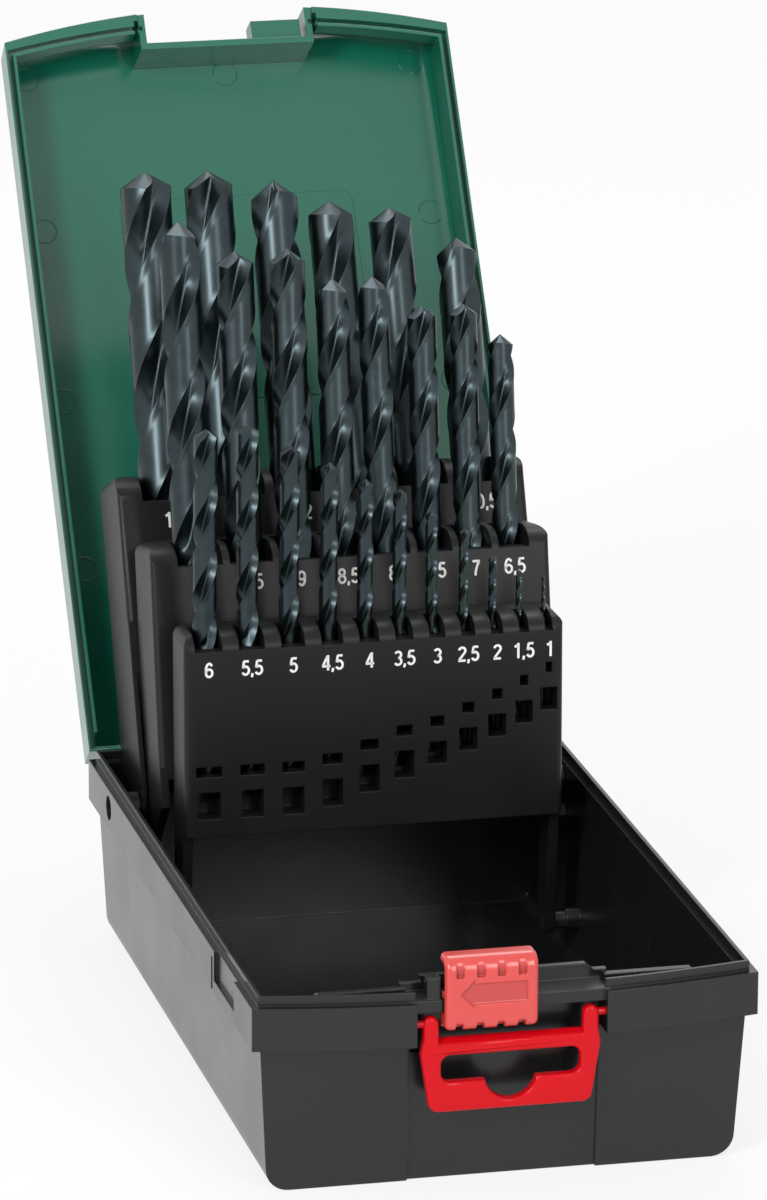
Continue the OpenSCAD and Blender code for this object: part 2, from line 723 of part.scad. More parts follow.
// One ring of points round a drill: a plain circle at flute = 0 and the fluted section at flute = 1
function drill_ring(r, z, turned, flute) = [
    for (half = [0, 180], p = FLUTE_SECTION)
        let (reach = r * (1 - flute * (1 - p[1])), angle = p[0] + half + turned)
            [reach * cos(angle), reach * sin(angle), z]
];

// The fluted length of a drill, with its point, rooted in the shank below z0
module fluted_body(r, z0, z1, point_h, lead) {
    run_out = flute_run_out * r;
    span = z1 - point_h - z0 - run_out;
    steps = ceil(span / lead * steps_per_turn);
    n = 2 * len(FLUTE_SECTION);
    body = concat(
        drill_ring(r * root_share, z0 - root_depth, 0, 0),
        [for (k = [0 : steps]) let (up = span * k / steps)
            each drill_ring(r, z0 + run_out + up, 360 * up / lead, 1)],
        [[0, 0, z1]]
    );
    sides = [
        for (k = [0 : steps], i = [0 : n - 1])
            let (a = k * n + i, b = k * n + (i + 1) % n)
                each [[a, a + n, b], [b, a + n, b + n]]
    ];
    last = (steps + 1) * n;
    tip = [for (i = [0 : n - 1]) [last + i, last + n, last + (i + 1) % n]];
    polyhedron(body, concat([[for (i = [0 : n - 1]) i]], sides, tip));
}

// A twist drill that stands on its shank
module twist_drill(d) {
    r = d / 2;
    long = drill_length(d);
    shank = long - flute_length(d);
    cylinder(r = r, h = shank);
    fluted_body(r * body_share, shank, long, r / tan(point_angle / 2), PI * d / tan(helix));
}

// A drill where it stands in its bank
module drill(d) {
    b = bank_of(d);
    n = place_of(d);
    lean = LEAN[b][n];
    mid = (bank_edge[b] - POCKET_FLOOR[b][n]) / 2;
    color(steel_colour) in_bank(b)
        translate([drill_x(b, n) - mid * tan(lean), drill_back[b], POCKET_FLOOR[b][n] + foot_gap])
        rotate([0, lean, 0]) twist_drill(d);
}

// ---- latch and hanger ----

module latch_slider() {
    y0 = -slider_front;
    inner = y0 + slider_t;
    lip_y = flange_t - rail_front;
    x = [slider_x, slider_x + slider_w];
    foot_r = 2;
    color(red_colour) in_case() difference() {
        union() {
            across(x[0], x[1]) polygon(concat(
                [[hook_y, slider_z[0]], [hook_y, slider_z[0] + slider_t], [inner, slider_z[0] + slider_t],
                    [inner, slider_z[1] - slider_t], [hook_y, slider_z[1] - slider_t], [hook_y, slider_z[1]]],
                arc_points(y0 + slider_r, slider_z[1] - slider_r, slider_r, 90, 180, 6),
                arc_points(y0 + foot_r, slider_z[0] + foot_r, foot_r, 180, 270, 5)
            ));
            // lip behind the rail's flange, and rib on top of the rail
            box(x, [lip_y + slide_fit + 0.1, hook_y], [slider_z[0] + cut, rail_z1 - shelf_t - slide_fit]);
            box(x, [inner - 0.5, lip_y + slide_fit + 0.4], [rail_z1 + slide_fit, rail_z1 + slide_fit + 1.1]);
        }
        // finger grips along the upper and lower edges
        for (n = [0 : grips - 1]) {
            middle = slider_x + slider_w / 2 - grip_shift + (n - (grips - 1) / 2) * grip_step;
            grip = [middle - grip_w / 2, middle + grip_w / 2];
            box(grip, [y0 - cut, y0 + grip_depth], [slider_z[1] - 4.2, slider_z[1] - 1.2]);
            box(grip, [y0 - cut, y0 + grip_depth], [slider_z[0] + 0.6, slider_z[0] + 2.2]);
        }
        // arrow that shows which way the slider opens
        along(y0 - cut, y0 + arrow_depth) translate([slider_x + slider_w / 2, (slider_z[0] + slider_z[1]) / 2])
            polygon(ARROW);
    }
}

module hanger_outline() {
    top = hanger_w / 2;
    low = top - shoulder_in;
    low_z = hanger_z - hanger_h;
    corner_r = 2.5;
    shoulder_z = hanger_z - shoulder_drop;
    bar_z = hanger_z - bar_drop;
    arm = arm_w / 2;
    arm_x = top - 0.5 - arm;
    slot_z = [hanger_z - slot_drop - slot_h, hanger_z - slot_drop];
    end_x = slot_w / 2 - slot_r;
    hook_z = slot_z[0] + hook_rise;
    hook_angle = asin(hook_rise / hook_r);
    difference() {
        polygon(concat(
            arc_points(-low + corner_r, low_z + corner_r, corner_r, 180, 270, 6),
            arc_points(low - corner_r, low_z + corner_r, corner_r, 270, 360, 6),
            [[top, shoulder_z], [arm_x + arm, bar_z]],
            arc_points(arm_x, hanger_z, arm, 0, 180, 12),
            [[arm_x - arm, bar_z], [-arm_x + arm, bar_z]],
            arc_points(-arm_x, hanger_z, arm, 0, 180, 12),
            [[-arm_x - arm, bar_z], [-top, shoulder_z]]
        ));
        polygon(concat(
            arc_points(end_x, slot_z[0] + slot_r, slot_r, -90, 0, 6),
            arc_points(end_x, slot_z[1] - slot_r, slot_r, 0, 90, 6),
            arc_points(-end_x, slot_z[1] - slot_r, slot_r, 90, 180, 6),
            arc_points(-end_x, slot_z[0] + slot_r, slot_r, 180, 270, 6),
            arc_points(0, hook_z, hook_r, 180 + hook_angle, 360 - hook_angle, 20)
        ));
    }
}

module hanger() {
    color(red_colour) in_case() difference() {
        along(-hanger_y - hanger_t / 2, -hanger_y + hanger_t / 2) hanger_outline();
        both_sides() rod(hanger_pin_r + turn_fit, hanger_w / 4, big, -hanger_y, hanger_z);
    }
}

module hanger_pins() {
    color(red_colour) in_case() both_sides()
        rod(hanger_pin_r, hanger_w / 2 - arm_w - turn_fit, bay_w / 2 + bay_wall, -hanger_y, hanger_z);
}

base_shell();
lid_shell();
hinge_pins();
bank(FRONT);  // front_bank
bank(MIDDLE);  // middle_bank
bank(REAR);  // rear_bank
pivot_pins(FRONT);  // front_pivot_pins
pivot_pins(MIDDLE);  // middle_pivot_pins
pivot_pins(REAR);  // rear_pivot_pins
latch_slider();
hanger();
hanger_pins();
drill(13);  // drill_13_0
drill(12.5);  // drill_12_5
drill(12);  // drill_12_0
drill(11.5);  // drill_11_5
drill(11);  // drill_11_0
drill(10.5);  // drill_10_5
drill(10);  // drill_10_0
drill(9.5);  // drill_9_5
drill(9);  // drill_9_0
drill(8.5);  // drill_8_5
drill(8);  // drill_8_0
drill(7.5);  // drill_7_5
drill(7);  // drill_7_0
drill(6.5);  // drill_6_5
drill(6);  // drill_6_0
drill(5.5);  // drill_5_5
drill(5);  // drill_5_0
drill(4.5);  // drill_4_5
drill(4);  // drill_4_0
drill(3.5);  // drill_3_5
drill(3);  // drill_3_0
drill(2.5);  // drill_2_5
drill(2);  // drill_2_0
drill(1.5);  // drill_1_5
drill(1);  // drill_1_0
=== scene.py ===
"""Looks for the drill bit case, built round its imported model.

The case stands open: a textured black base, a green lid behind it, three black drill banks that
fan out with steam-blackened twist drills, and a red latch slider and hanger at the front.
Lengths are in metres unless a name says otherwise.
"""

from __future__ import annotations

import json
import logging
import math
from collections.abc import Iterable
from dataclasses import dataclass, field
from enum import Enum

import bmesh
import bpy
from mathutils import Matrix, Vector

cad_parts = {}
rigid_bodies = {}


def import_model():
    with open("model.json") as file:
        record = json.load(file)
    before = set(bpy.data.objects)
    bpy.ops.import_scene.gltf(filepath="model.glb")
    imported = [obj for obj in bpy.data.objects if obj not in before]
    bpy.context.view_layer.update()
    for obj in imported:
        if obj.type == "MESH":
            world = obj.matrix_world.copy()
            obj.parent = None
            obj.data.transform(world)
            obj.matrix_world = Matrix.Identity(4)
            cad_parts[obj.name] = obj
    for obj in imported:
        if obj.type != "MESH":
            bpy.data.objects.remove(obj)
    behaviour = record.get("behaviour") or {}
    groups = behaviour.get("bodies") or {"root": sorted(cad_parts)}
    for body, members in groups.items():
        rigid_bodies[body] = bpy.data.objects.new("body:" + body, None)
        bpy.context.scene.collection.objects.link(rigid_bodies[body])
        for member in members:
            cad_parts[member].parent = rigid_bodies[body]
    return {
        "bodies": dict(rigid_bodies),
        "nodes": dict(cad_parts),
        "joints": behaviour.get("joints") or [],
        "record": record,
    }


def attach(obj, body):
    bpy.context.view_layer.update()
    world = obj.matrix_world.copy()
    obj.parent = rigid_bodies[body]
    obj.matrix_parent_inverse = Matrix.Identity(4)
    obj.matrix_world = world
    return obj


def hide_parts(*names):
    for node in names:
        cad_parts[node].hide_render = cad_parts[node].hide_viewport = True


log = logging.getLogger("drill_bit_case")

MM = 0.001
# Attribute that carries painted shade: how deep the latch's grips and arrow are sunk, which darkens their
# colour.
PAINTED_SHADE_ATTRIBUTE = "painted_recess_shade"
WELD = 0.002 * MM
FLAT_ANGLE = 0.5  # degrees
STRIP_WIDTH = 0.4 * MM
WHITE = (1.0, 1.0, 1.0)


# ---------------------------------------------------------------- node trees

Colour = tuple[float, float, float]
Sockets = dict[str | int, object]

MIX_SHARE, MIX_LOW, MIX_HIGH, MIX_RESULT = 0, 6, 7, 2  # sockets of a Mix node set to colours


class Value:
    """A number flowing through a node tree, with ordinary arithmetic on it."""

    def __init__(self, nodes: Nodes, socket: bpy.types.NodeSocket) -> None:
        """Takes hold of an output.

        Args:
            nodes: the tree that it flows in.
            socket: the output that carries it.
        """
        self.nodes = nodes
        self.socket = socket

    def math(self, operation: str, *others: Value | float) -> Value:
        """Adds a Math node.

        Args:
            operation: the node's operation.
            others: its further inputs.

        Returns:
            The node's result.
        """
        sockets = dict(enumerate((self, *others)))
        return self.nodes.value("ShaderNodeMath", 0, {"operation": operation}, sockets)

    def __add__(self, other: Value | float) -> Value:
        """Sum."""
        return self.math("ADD", other)

    def __sub__(self, other: Value | float) -> Value:
        """Difference."""
        return self.math("SUBTRACT", other)

    def __rsub__(self, other: float) -> Value:
        """Difference, with the number first."""
        return self * -1.0 + other

    def __mul__(self, other: Value | float) -> Value:
        """Product."""
        return self.math("MULTIPLY", other)

    __rmul__ = __mul__

    def __truediv__(self, other: Value | float) -> Value:
        """Quotient."""
        return self.math("DIVIDE", other)

    def __pow__(self, other: Value | float) -> Value:
        """Power."""
        return self.math("POWER", other)

    def at_least(self, limit: Value | float) -> Value:
        """The value, or the limit where that is larger."""
        return self.math("MAXIMUM", limit)

    def at_most(self, limit: Value | float) -> Value:
        """The value, or the limit where that is smaller."""
        return self.math("MINIMUM", limit)

    def clamp(self) -> Value:
        """The value, held between 0 and 1."""
        return self.at_least(0.0).at_most(1.0)

    def eased(self) -> Value:
        """The value, held between 0 and 1 and eased in and out."""
        held = self.clamp()
        return held * held * (3.0 - 2.0 * held)

    def fraction(self) -> Value:
        """What follows the decimal point."""
        return self.math("FRACT")

    def above(self, limit: float) -> Value:
        """1 where the value is above the limit, and 0 elsewhere."""
        return self.math("GREATER_THAN", limit)

    def sine(self) -> Value:
        """Sine of an angle in radians."""
        return self.math("SINE")

    def cosine(self) -> Value:
        """Cosine of an angle in radians."""
        return self.math("COSINE")


@dataclass
class Nodes:
    """A node tree under construction."""

    tree: bpy.types.NodeTree

    def add(
        self, kind: str, settings: dict[str, object] | None = None, sockets: Sockets | None = None
    ) -> bpy.types.Node:
        """Adds one node.

        Args:
            kind: its type name.
            settings: its own properties, set first.
            sockets: the values or links of its inputs, by name or number.

        Returns:
            The node.
        """
        node = self.tree.nodes.new(kind)
        for name, setting in (settings or {}).items():
            setattr(node, name, setting)
        for key, value in (sockets or {}).items():
            self.feed(node.inputs[key], value)
        return node

    def feed(self, socket: bpy.types.NodeSocket, value: object) -> None:
        """Links a value to an input, or sets a plain one.

        Args:
            socket: the input.
            value: a Value, an output socket, or what the input itself may hold.
        """
        if isinstance(value, Value):
            self.tree.links.new(value.socket, socket)
        elif isinstance(value, bpy.types.NodeSocket):
            self.tree.links.new(value, socket)
        else:
            socket.default_value = value

    def value(
        self,
        kind: str,
        output: str | int = 0,
        settings: dict[str, object] | None = None,
        sockets: Sockets | None = None,
    ) -> Value:
        """Adds one node and reads one of its outputs.

        Args:
            kind: its type name.
            output: the output, by name or number.
            settings: its own properties, set first.
            sockets: the values or links of its inputs, by name or number.

        Returns:
            The output, as a Value.
        """
        return Value(self, self.add(kind, settings, sockets).outputs[output])

    def noise(self, place: object, scale: float, detail: float = 3.0, roughness: float = 0.55) -> Value:
        """Returns a noise pattern between 0 and 1.

        Args:
            place: the coordinates that it reads.
            scale: its spots to the metre.
            detail: its finer layers.
            roughness: their strength.
        """
        sockets = {"Vector": place, "Scale": scale, "Detail": detail, "Roughness": roughness}
        return self.value("ShaderNodeTexNoise", "Fac", {}, sockets)

    def blended(self, share: Value, low: Colour | bpy.types.NodeSocket, high: Colour) -> bpy.types.NodeSocket:
        """Returns a colour between two.

        Args:
            share: 0 for the first colour and 1 for the second.
            low: the first colour, plain or from another node.
            high: the second colour.
        """
        first = low if isinstance(low, bpy.types.NodeSocket) else (*low, 1.0)
        sockets = {MIX_SHARE: share.clamp(), MIX_LOW: first, MIX_HIGH: (*high, 1.0)}
        return self.add("ShaderNodeMix", {"data_type": "RGBA"}, sockets).outputs[MIX_RESULT]

    def rounded_bump(self, height: Value, depth: float, edge: float) -> bpy.types.NodeSocket:
        """Returns a normal that carries a relief and softened edges.

        Args:
            height: the relief, between 0 and 1.
            depth: how deep it is, in metres.
            edge: radius of the softened edges, in metres.
        """
        rounding = self.add("ShaderNodeBevel", {"samples": 4}, {"Radius": edge})
        sockets = {"Strength": 1.0, "Distance": depth, "Height": height, "Normal": rounding.outputs["Normal"]}
        return self.add("ShaderNodeBump", {}, sockets).outputs["Normal"]


def new_material(name: str, colour: Colour) -> tuple[bpy.types.Material, Nodes, bpy.types.Node]:
    """Makes an empty material.

    Args:
        name: its name.
        colour: the colour that stands for it.

    Returns:
        The material, its nodes and its main shader.
    """
    material = bpy.data.materials.new(name)
    material.use_nodes = True
    material.diffuse_color = (*colour, 1.0)
    return material, Nodes(material.node_tree), material.node_tree.nodes["Principled BSDF"]


# ---------------------------------------------------------------- finishes


@dataclass(frozen=True)
class Moulded:
    """Injection-moulded plastic: spark-eroded grain, slow changes of tone and gloss, softened edges, painted
    recess shade.
    """

    name: str
    slot: str
    colour: Colour
    roughness: float
    grain_mm: float
    grain_depth: float
    edge_mm: float = 0.25
    mottle: float = 0.10
    dust: float = 0.0
    specular: float = 0.5
    # Painted shade: the share by which the colour darkens where the mesh's attribute marks sunk places.
    painted_recess_shade: float = 0.0
    cloud_scale: float = 38.0
    cloud_tone: float = 1.6
    grain_tone: float = 0.5
    cloud_gloss: float = 0.16
    grain_gloss: float = 0.08

    def make(self) -> bpy.types.Material:
        """Returns the finished material."""
        material, nodes, shader = new_material(self.name, self.colour)
        place = nodes.add("ShaderNodeTexCoord").outputs["Object"]
        grain = nodes.noise(place, 1.0 / (self.grain_mm * MM), roughness=0.6)
        cloud = nodes.noise(place, self.cloud_scale, detail=4.0) - 0.5
        fine = grain - 0.5
        deep = tuple(c * (1.0 - self.mottle) for c in self.colour)
        pale = tuple(min(1.0, c * (1.0 + self.mottle) + self.dust) for c in self.colour)
        tone = nodes.blended(cloud * self.cloud_tone + fine * self.grain_tone + 0.5, deep, pale)
        # Painted shade: the colour darkens in sunk places, by as much as the attribute says they are sunk.
        if self.painted_recess_shade:
            sunk = nodes.value("ShaderNodeAttribute", "Fac", {"attribute_name": PAINTED_SHADE_ATTRIBUTE})
            tone = nodes.blended(sunk, tone, tuple(c * (1.0 - self.painted_recess_shade) for c in self.colour))
        nodes.feed(shader.inputs["Base Color"], tone)
        gloss = cloud * self.cloud_gloss + fine * self.grain_gloss + self.roughness
        nodes.feed(shader.inputs["Roughness"], gloss.clamp())
        normal = nodes.rounded_bump(grain, self.grain_depth * MM, self.edge_mm * MM)
        nodes.feed(shader.inputs["Normal"], normal)
        shader.inputs["Specular IOR Level"].default_value = self.specular
        return material


@dataclass(frozen=True)
class BlackedSteel:
    """Steam-blackened steel with fine marks that run round the tool."""

    name: str = "steam_black_steel"
    slot: str = "drill_steel"
    colour: Colour = (0.042, 0.056, 0.061)
    roughness: float = 0.33
    marks_across: float = 350.0
    marks_along: float = 3800.0
    marks_depth: float = 0.0006 * MM
    marks_tone: float = 0.15
    marks_gloss: float = 0.06
    bloom_scale: float = 170.0
    bloom_gloss: float = 0.12
    dark_share: float = 0.72
    pale_share: float = 1.35
    edge: float = 0.12 * MM

    def make(self) -> bpy.types.Material:
        """Returns the finished material."""
        material, nodes, shader = new_material(self.name, self.colour)
        place = nodes.add("ShaderNodeTexCoord").outputs["Object"]
        stretch = {"Vector": place, "Scale": (self.marks_across, self.marks_across, self.marks_along)}
        stretched = nodes.add("ShaderNodeMapping", {}, stretch).outputs["Vector"]
        marks = nodes.noise(stretched, 1.0, detail=2.0)
        bloom = nodes.noise(place, self.bloom_scale, detail=4.0, roughness=0.6)
        scratch = marks - 0.5
        dark = tuple(c * self.dark_share for c in self.colour)
        pale = tuple(c * self.pale_share for c in self.colour)
        nodes.feed(shader.inputs["Base Color"], nodes.blended(bloom + scratch * self.marks_tone, dark, pale))
        even = self.roughness - self.bloom_gloss / 2
        rough = bloom * self.bloom_gloss + scratch * self.marks_gloss + even
        nodes.feed(shader.inputs["Roughness"], rough.clamp())
        nodes.feed(shader.inputs["Normal"], nodes.rounded_bump(marks, self.marks_depth, self.edge))
        shader.inputs["Metallic"].default_value = 1.0
        return material


@dataclass(frozen=True)
class PrintedInk:
    """Pad-printed ink: flat, slightly uneven and a little worn."""

    name: str
    slot: str
    colour: Colour
    roughness: float = 0.55
    wear_scale: float = 2600.0
    wear_tone: float = 1.6
    worn_share: float = 0.8

    def make(self) -> bpy.types.Material:
        """Returns the finished material."""
        material, nodes, shader = new_material(self.name, self.colour)
        place = nodes.add("ShaderNodeTexCoord").outputs["Object"]
        wear = nodes.noise(place, self.wear_scale)
        worn = tuple(c * self.worn_share for c in self.colour)
        nodes.feed(shader.inputs["Base Color"], nodes.blended(wear * self.wear_tone, worn, self.colour))
        shader.inputs["Roughness"].default_value = self.roughness
        return material


class Finish(Enum):
    """The finishes on the case, one for each kind of piece."""

    BASE = Moulded("base_black", "base_plastic", (0.008, 0.0085, 0.009), 0.25, 0.35, 0.006, edge_mm=0.5)
    BANK = Moulded(
        "bank_black", "bank_plastic", (0.007, 0.007, 0.0075), 0.40, 0.42, 0.022,
        edge_mm=0.5, dust=0.001, specular=0.24,
    )
    LID = Moulded(
        "lid_green", "lid_plastic", (0.004, 0.125, 0.076), 0.22, 0.5, 0.003,
        edge_mm=0.3, mottle=0.04, specular=0.7,
    )
    # The latch's colour carries painted shade: up to 40 % darker in its sunk grips and arrow.
    LATCH = Moulded(
        "latch_red", "latch_plastic", (0.64, 0.062, 0.054), 0.24, 0.4, 0.002,
        edge_mm=0.3, mottle=0.03, specular=0.65, painted_recess_shade=0.4,
    )
    HANGER = Moulded(
        "hanger_red", "hanger_plastic", (0.58, 0.002, 0.008), 0.2, 0.4, 0.002,
        edge_mm=0.35, mottle=0.03, specular=0.2,
    )
    PIN = Moulded("pin_black", "pin_plastic", (0.014, 0.014, 0.015), 0.35, 0.3, 0.006)
    DRILL = BlackedSteel()
    PIN_STEEL = BlackedSteel("plain_pin_steel", "pin_steel", (0.42, 0.42, 0.44), 0.3)
    INK = PrintedInk("number_ink", "bank_plastic", (0.90, 0.90, 0.89))

    def material(self) -> bpy.types.Material:
        """Returns the finish's material, made once."""
        found = bpy.data.materials.get(self.value.name)
        return found or self.value.make()


# ---------------------------------------------------------------- pieces


def object_from(data: bpy.types.ID, name: str) -> bpy.types.Object:
    """Links a mesh, curve, lamp or camera into the scene.

    Args:
        data: what the object holds, in the case's frame.
        name: the object's name.

    Returns:
        The new object, at the origin.
    """
    piece = bpy.data.objects.new(name, data)
    bpy.context.scene.collection.objects.link(piece)
    return piece


def dress(piece: bpy.types.Object, finish: Finish, body: str, *stands_for: str) -> bpy.types.Object:
    """Gives a piece its material and ties it to the frame.

    Args:
        piece: the finished mesh.
        finish: what it is made of.
        body: the body that it moves with.
        stands_for: the nodes that it replaces.

    Returns:
        The same piece.
    """
    piece.data.materials.clear()
    piece.data.materials.append(finish.material())
    piece.data.polygons.foreach_set("material_index", [0] * len(piece.data.polygons))
    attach(piece, body)
    if stands_for:
        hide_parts(*stands_for)
    log.info("%s rides on %s with finish %s", piece.name, body, finish.name)
    return piece


def bake(piece: bpy.types.Object) -> bpy.types.Object:
    """Turns a piece's modifiers into a plain mesh.

    Args:
        piece: an object with live modifiers.

    Returns:
        The same object, with no modifiers.
    """
    graph = bpy.context.evaluated_depsgraph_get()
    plain = bpy.data.meshes.new_from_object(piece.evaluated_get(graph))
    piece.modifiers.clear()
    piece.data = plain
    return piece


@dataclass
class CaseFrame:
    """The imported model: its nodes, joints and what can be read from them."""

    data: dict
    joints: dict[str, dict] = field(init=False)

    def __post_init__(self) -> None:
        """Indexes the joints by name."""
        self.joints = {joint["name"]: joint for joint in self.data["joints"]}

    def merged(self, node: str) -> bmesh.types.BMesh:
        """Copies a node's mesh with its loose triangles joined.

        Args:
            node: the node's name.

        Returns:
            A closed mesh.
        """
        mesh = bmesh.new()
        mesh.from_mesh(self.data["nodes"][node].data)
        bmesh.ops.remove_doubles(mesh, verts=mesh.verts, dist=WELD)
        return mesh

    def limits(self, node: str) -> tuple[Vector, Vector]:
        """Returns the lowest and highest corner of a node's box."""
        places = [v.co for v in self.data["nodes"][node].data.vertices]
        return (
            Vector(min(p[axis] for p in places) for axis in range(3)),
            Vector(max(p[axis] for p in places) for axis in range(3)),
        )

    def farthest(self, node: str, direction: Vector) -> Vector:
        """Returns the node's vertex that lies farthest along a direction."""
        places = [v.co.copy() for v in self.data["nodes"][node].data.vertices]
        return max(places, key=lambda p: p.dot(direction))


def flatten_broad_faces(mesh: bmesh.types.BMesh) -> None:
    """Shades each broad flat face flat, and the narrow strips of its roundings smooth.

    Args:
        mesh: the mesh, with its triangles joined.
    """
    level = math.cos(math.radians(FLAT_ANGLE))
    mesh.faces.ensure_lookup_table()
    seen = set()
    for first in mesh.faces:
        if first in seen:
            continue
        seen.add(first)
        waiting, region, area, rim = [first], [], 0.0, 0.0
        while waiting:
            face = waiting.pop()
            region.append(face)
            area += face.calc_area()
            for edge in face.edges:
                others = [other for other in edge.link_faces if other is not face]
                if len(others) != 1 or face.normal.dot(others[0].normal) < level:
                    rim += edge.calc_length()
                elif others[0] not in seen:
                    seen.add(others[0])
                    waiting.append(others[0])
        for face in region:
            face.smooth = area < rim * STRIP_WIDTH


def shaded(mesh: bmesh.types.BMesh, name: str, angle: float = 35.0) -> bpy.types.Object:
    """Makes a piece from a mesh, smooth on its roundings and flat on its large faces.

    Args:
        mesh: the closed mesh, freed here.
        name: the piece's name.
        angle: edges sharper than this stay sharp, in degrees.

    Returns:
        The piece.
    """
    data = bpy.data.meshes.new(name)
    flatten_broad_faces(mesh)
    mesh.to_mesh(data)
    mesh.free()
    if data.has_custom_normals:
        data.attributes.remove(data.attributes["custom_normal"])
    data.set_sharp_from_angle(angle=math.radians(angle))
    return object_from(data, name)


def rounded(mesh: bmesh.types.BMesh, name: str, width: float, angle: float = 40.0) -> bpy.types.Object:
    """Makes a small piece from a mesh of whole faces, with its sharp edges rounded.

    Args:
        mesh: the sharp mesh, freed here.
        name: the piece's name.
        width: width of the rounding.
        angle: edges sharper than this stay sharp in the shading, in degrees.

    Returns:
        The piece.
    """
    data = bpy.data.meshes.new(name)
    mesh.to_mesh(data)
    mesh.free()
    piece = object_from(data, name)
    bevel = piece.modifiers.new("rounding", "BEVEL")
    bevel.width = width
    bevel.segments = 3
    bevel.limit_method = "ANGLE"
    bake(piece)
    piece.data.shade_smooth()
    piece.data.set_sharp_from_angle(angle=math.radians(angle))
    return piece


class ShapeTree:
    """A geometry node tree with named inputs, which turns a mesh into a plain piece."""

    def __init__(self, name: str, *inputs: str) -> None:
        """Starts the tree.

        Args:
            name: its name.
            inputs: names of its lengths, which come after a geometry and before a material.
        """
        self.tree = bpy.data.node_groups.new(name, "GeometryNodeTree")
        face = self.tree.interface
        face.new_socket("Geometry", in_out="OUTPUT", socket_type="NodeSocketGeometry")
        face.new_socket("Geometry", in_out="INPUT", socket_type="NodeSocketGeometry")
        kinds = {key: "NodeSocketFloat" for key in inputs} | {"Material": "NodeSocketMaterial"}
        self.sockets = {
            key: face.new_socket(key, in_out="INPUT", socket_type=kind).identifier
            for key, kind in kinds.items()
        }
        self.nodes = Nodes(self.tree)
        self.given = self.nodes.add("NodeGroupInput").outputs

    def close(self, geometry: bpy.types.NodeSocket) -> None:
        """Realizes what the tree has made, gives it its material and sends it out.

        Args:
            geometry: the output that carries it.
        """
        real = self.nodes.add("GeometryNodeRealizeInstances", {}, {"Geometry": geometry}).outputs[0]
        dressing = {"Geometry": real, "Material": self.given["Material"]}
        dressed = self.nodes.add("GeometryNodeSetMaterial", {}, dressing).outputs[0]
        self.nodes.add("NodeGroupOutput", {}, {0: dressed})

    def run(self, mesh: bpy.types.Mesh, finish: Finish, lengths: dict[str, float]) -> bpy.types.Object:
        """Runs the tree on a mesh.

        Args:
            mesh: where it starts, named as the piece will be.
            finish: what the piece is made of.
            lengths: a value for each named length.

        Returns:
            The piece, with no modifier left.
        """
        piece = object_from(mesh, mesh.name)
        modifier = piece.modifiers.new(self.tree.name, "NODES")
        modifier.node_group = self.tree
        for key, value in lengths.items():
            modifier[self.sockets[key]] = value
        modifier[self.sockets["Material"]] = finish.material()
        return bake(piece)


# ---------------------------------------------------------------- drills


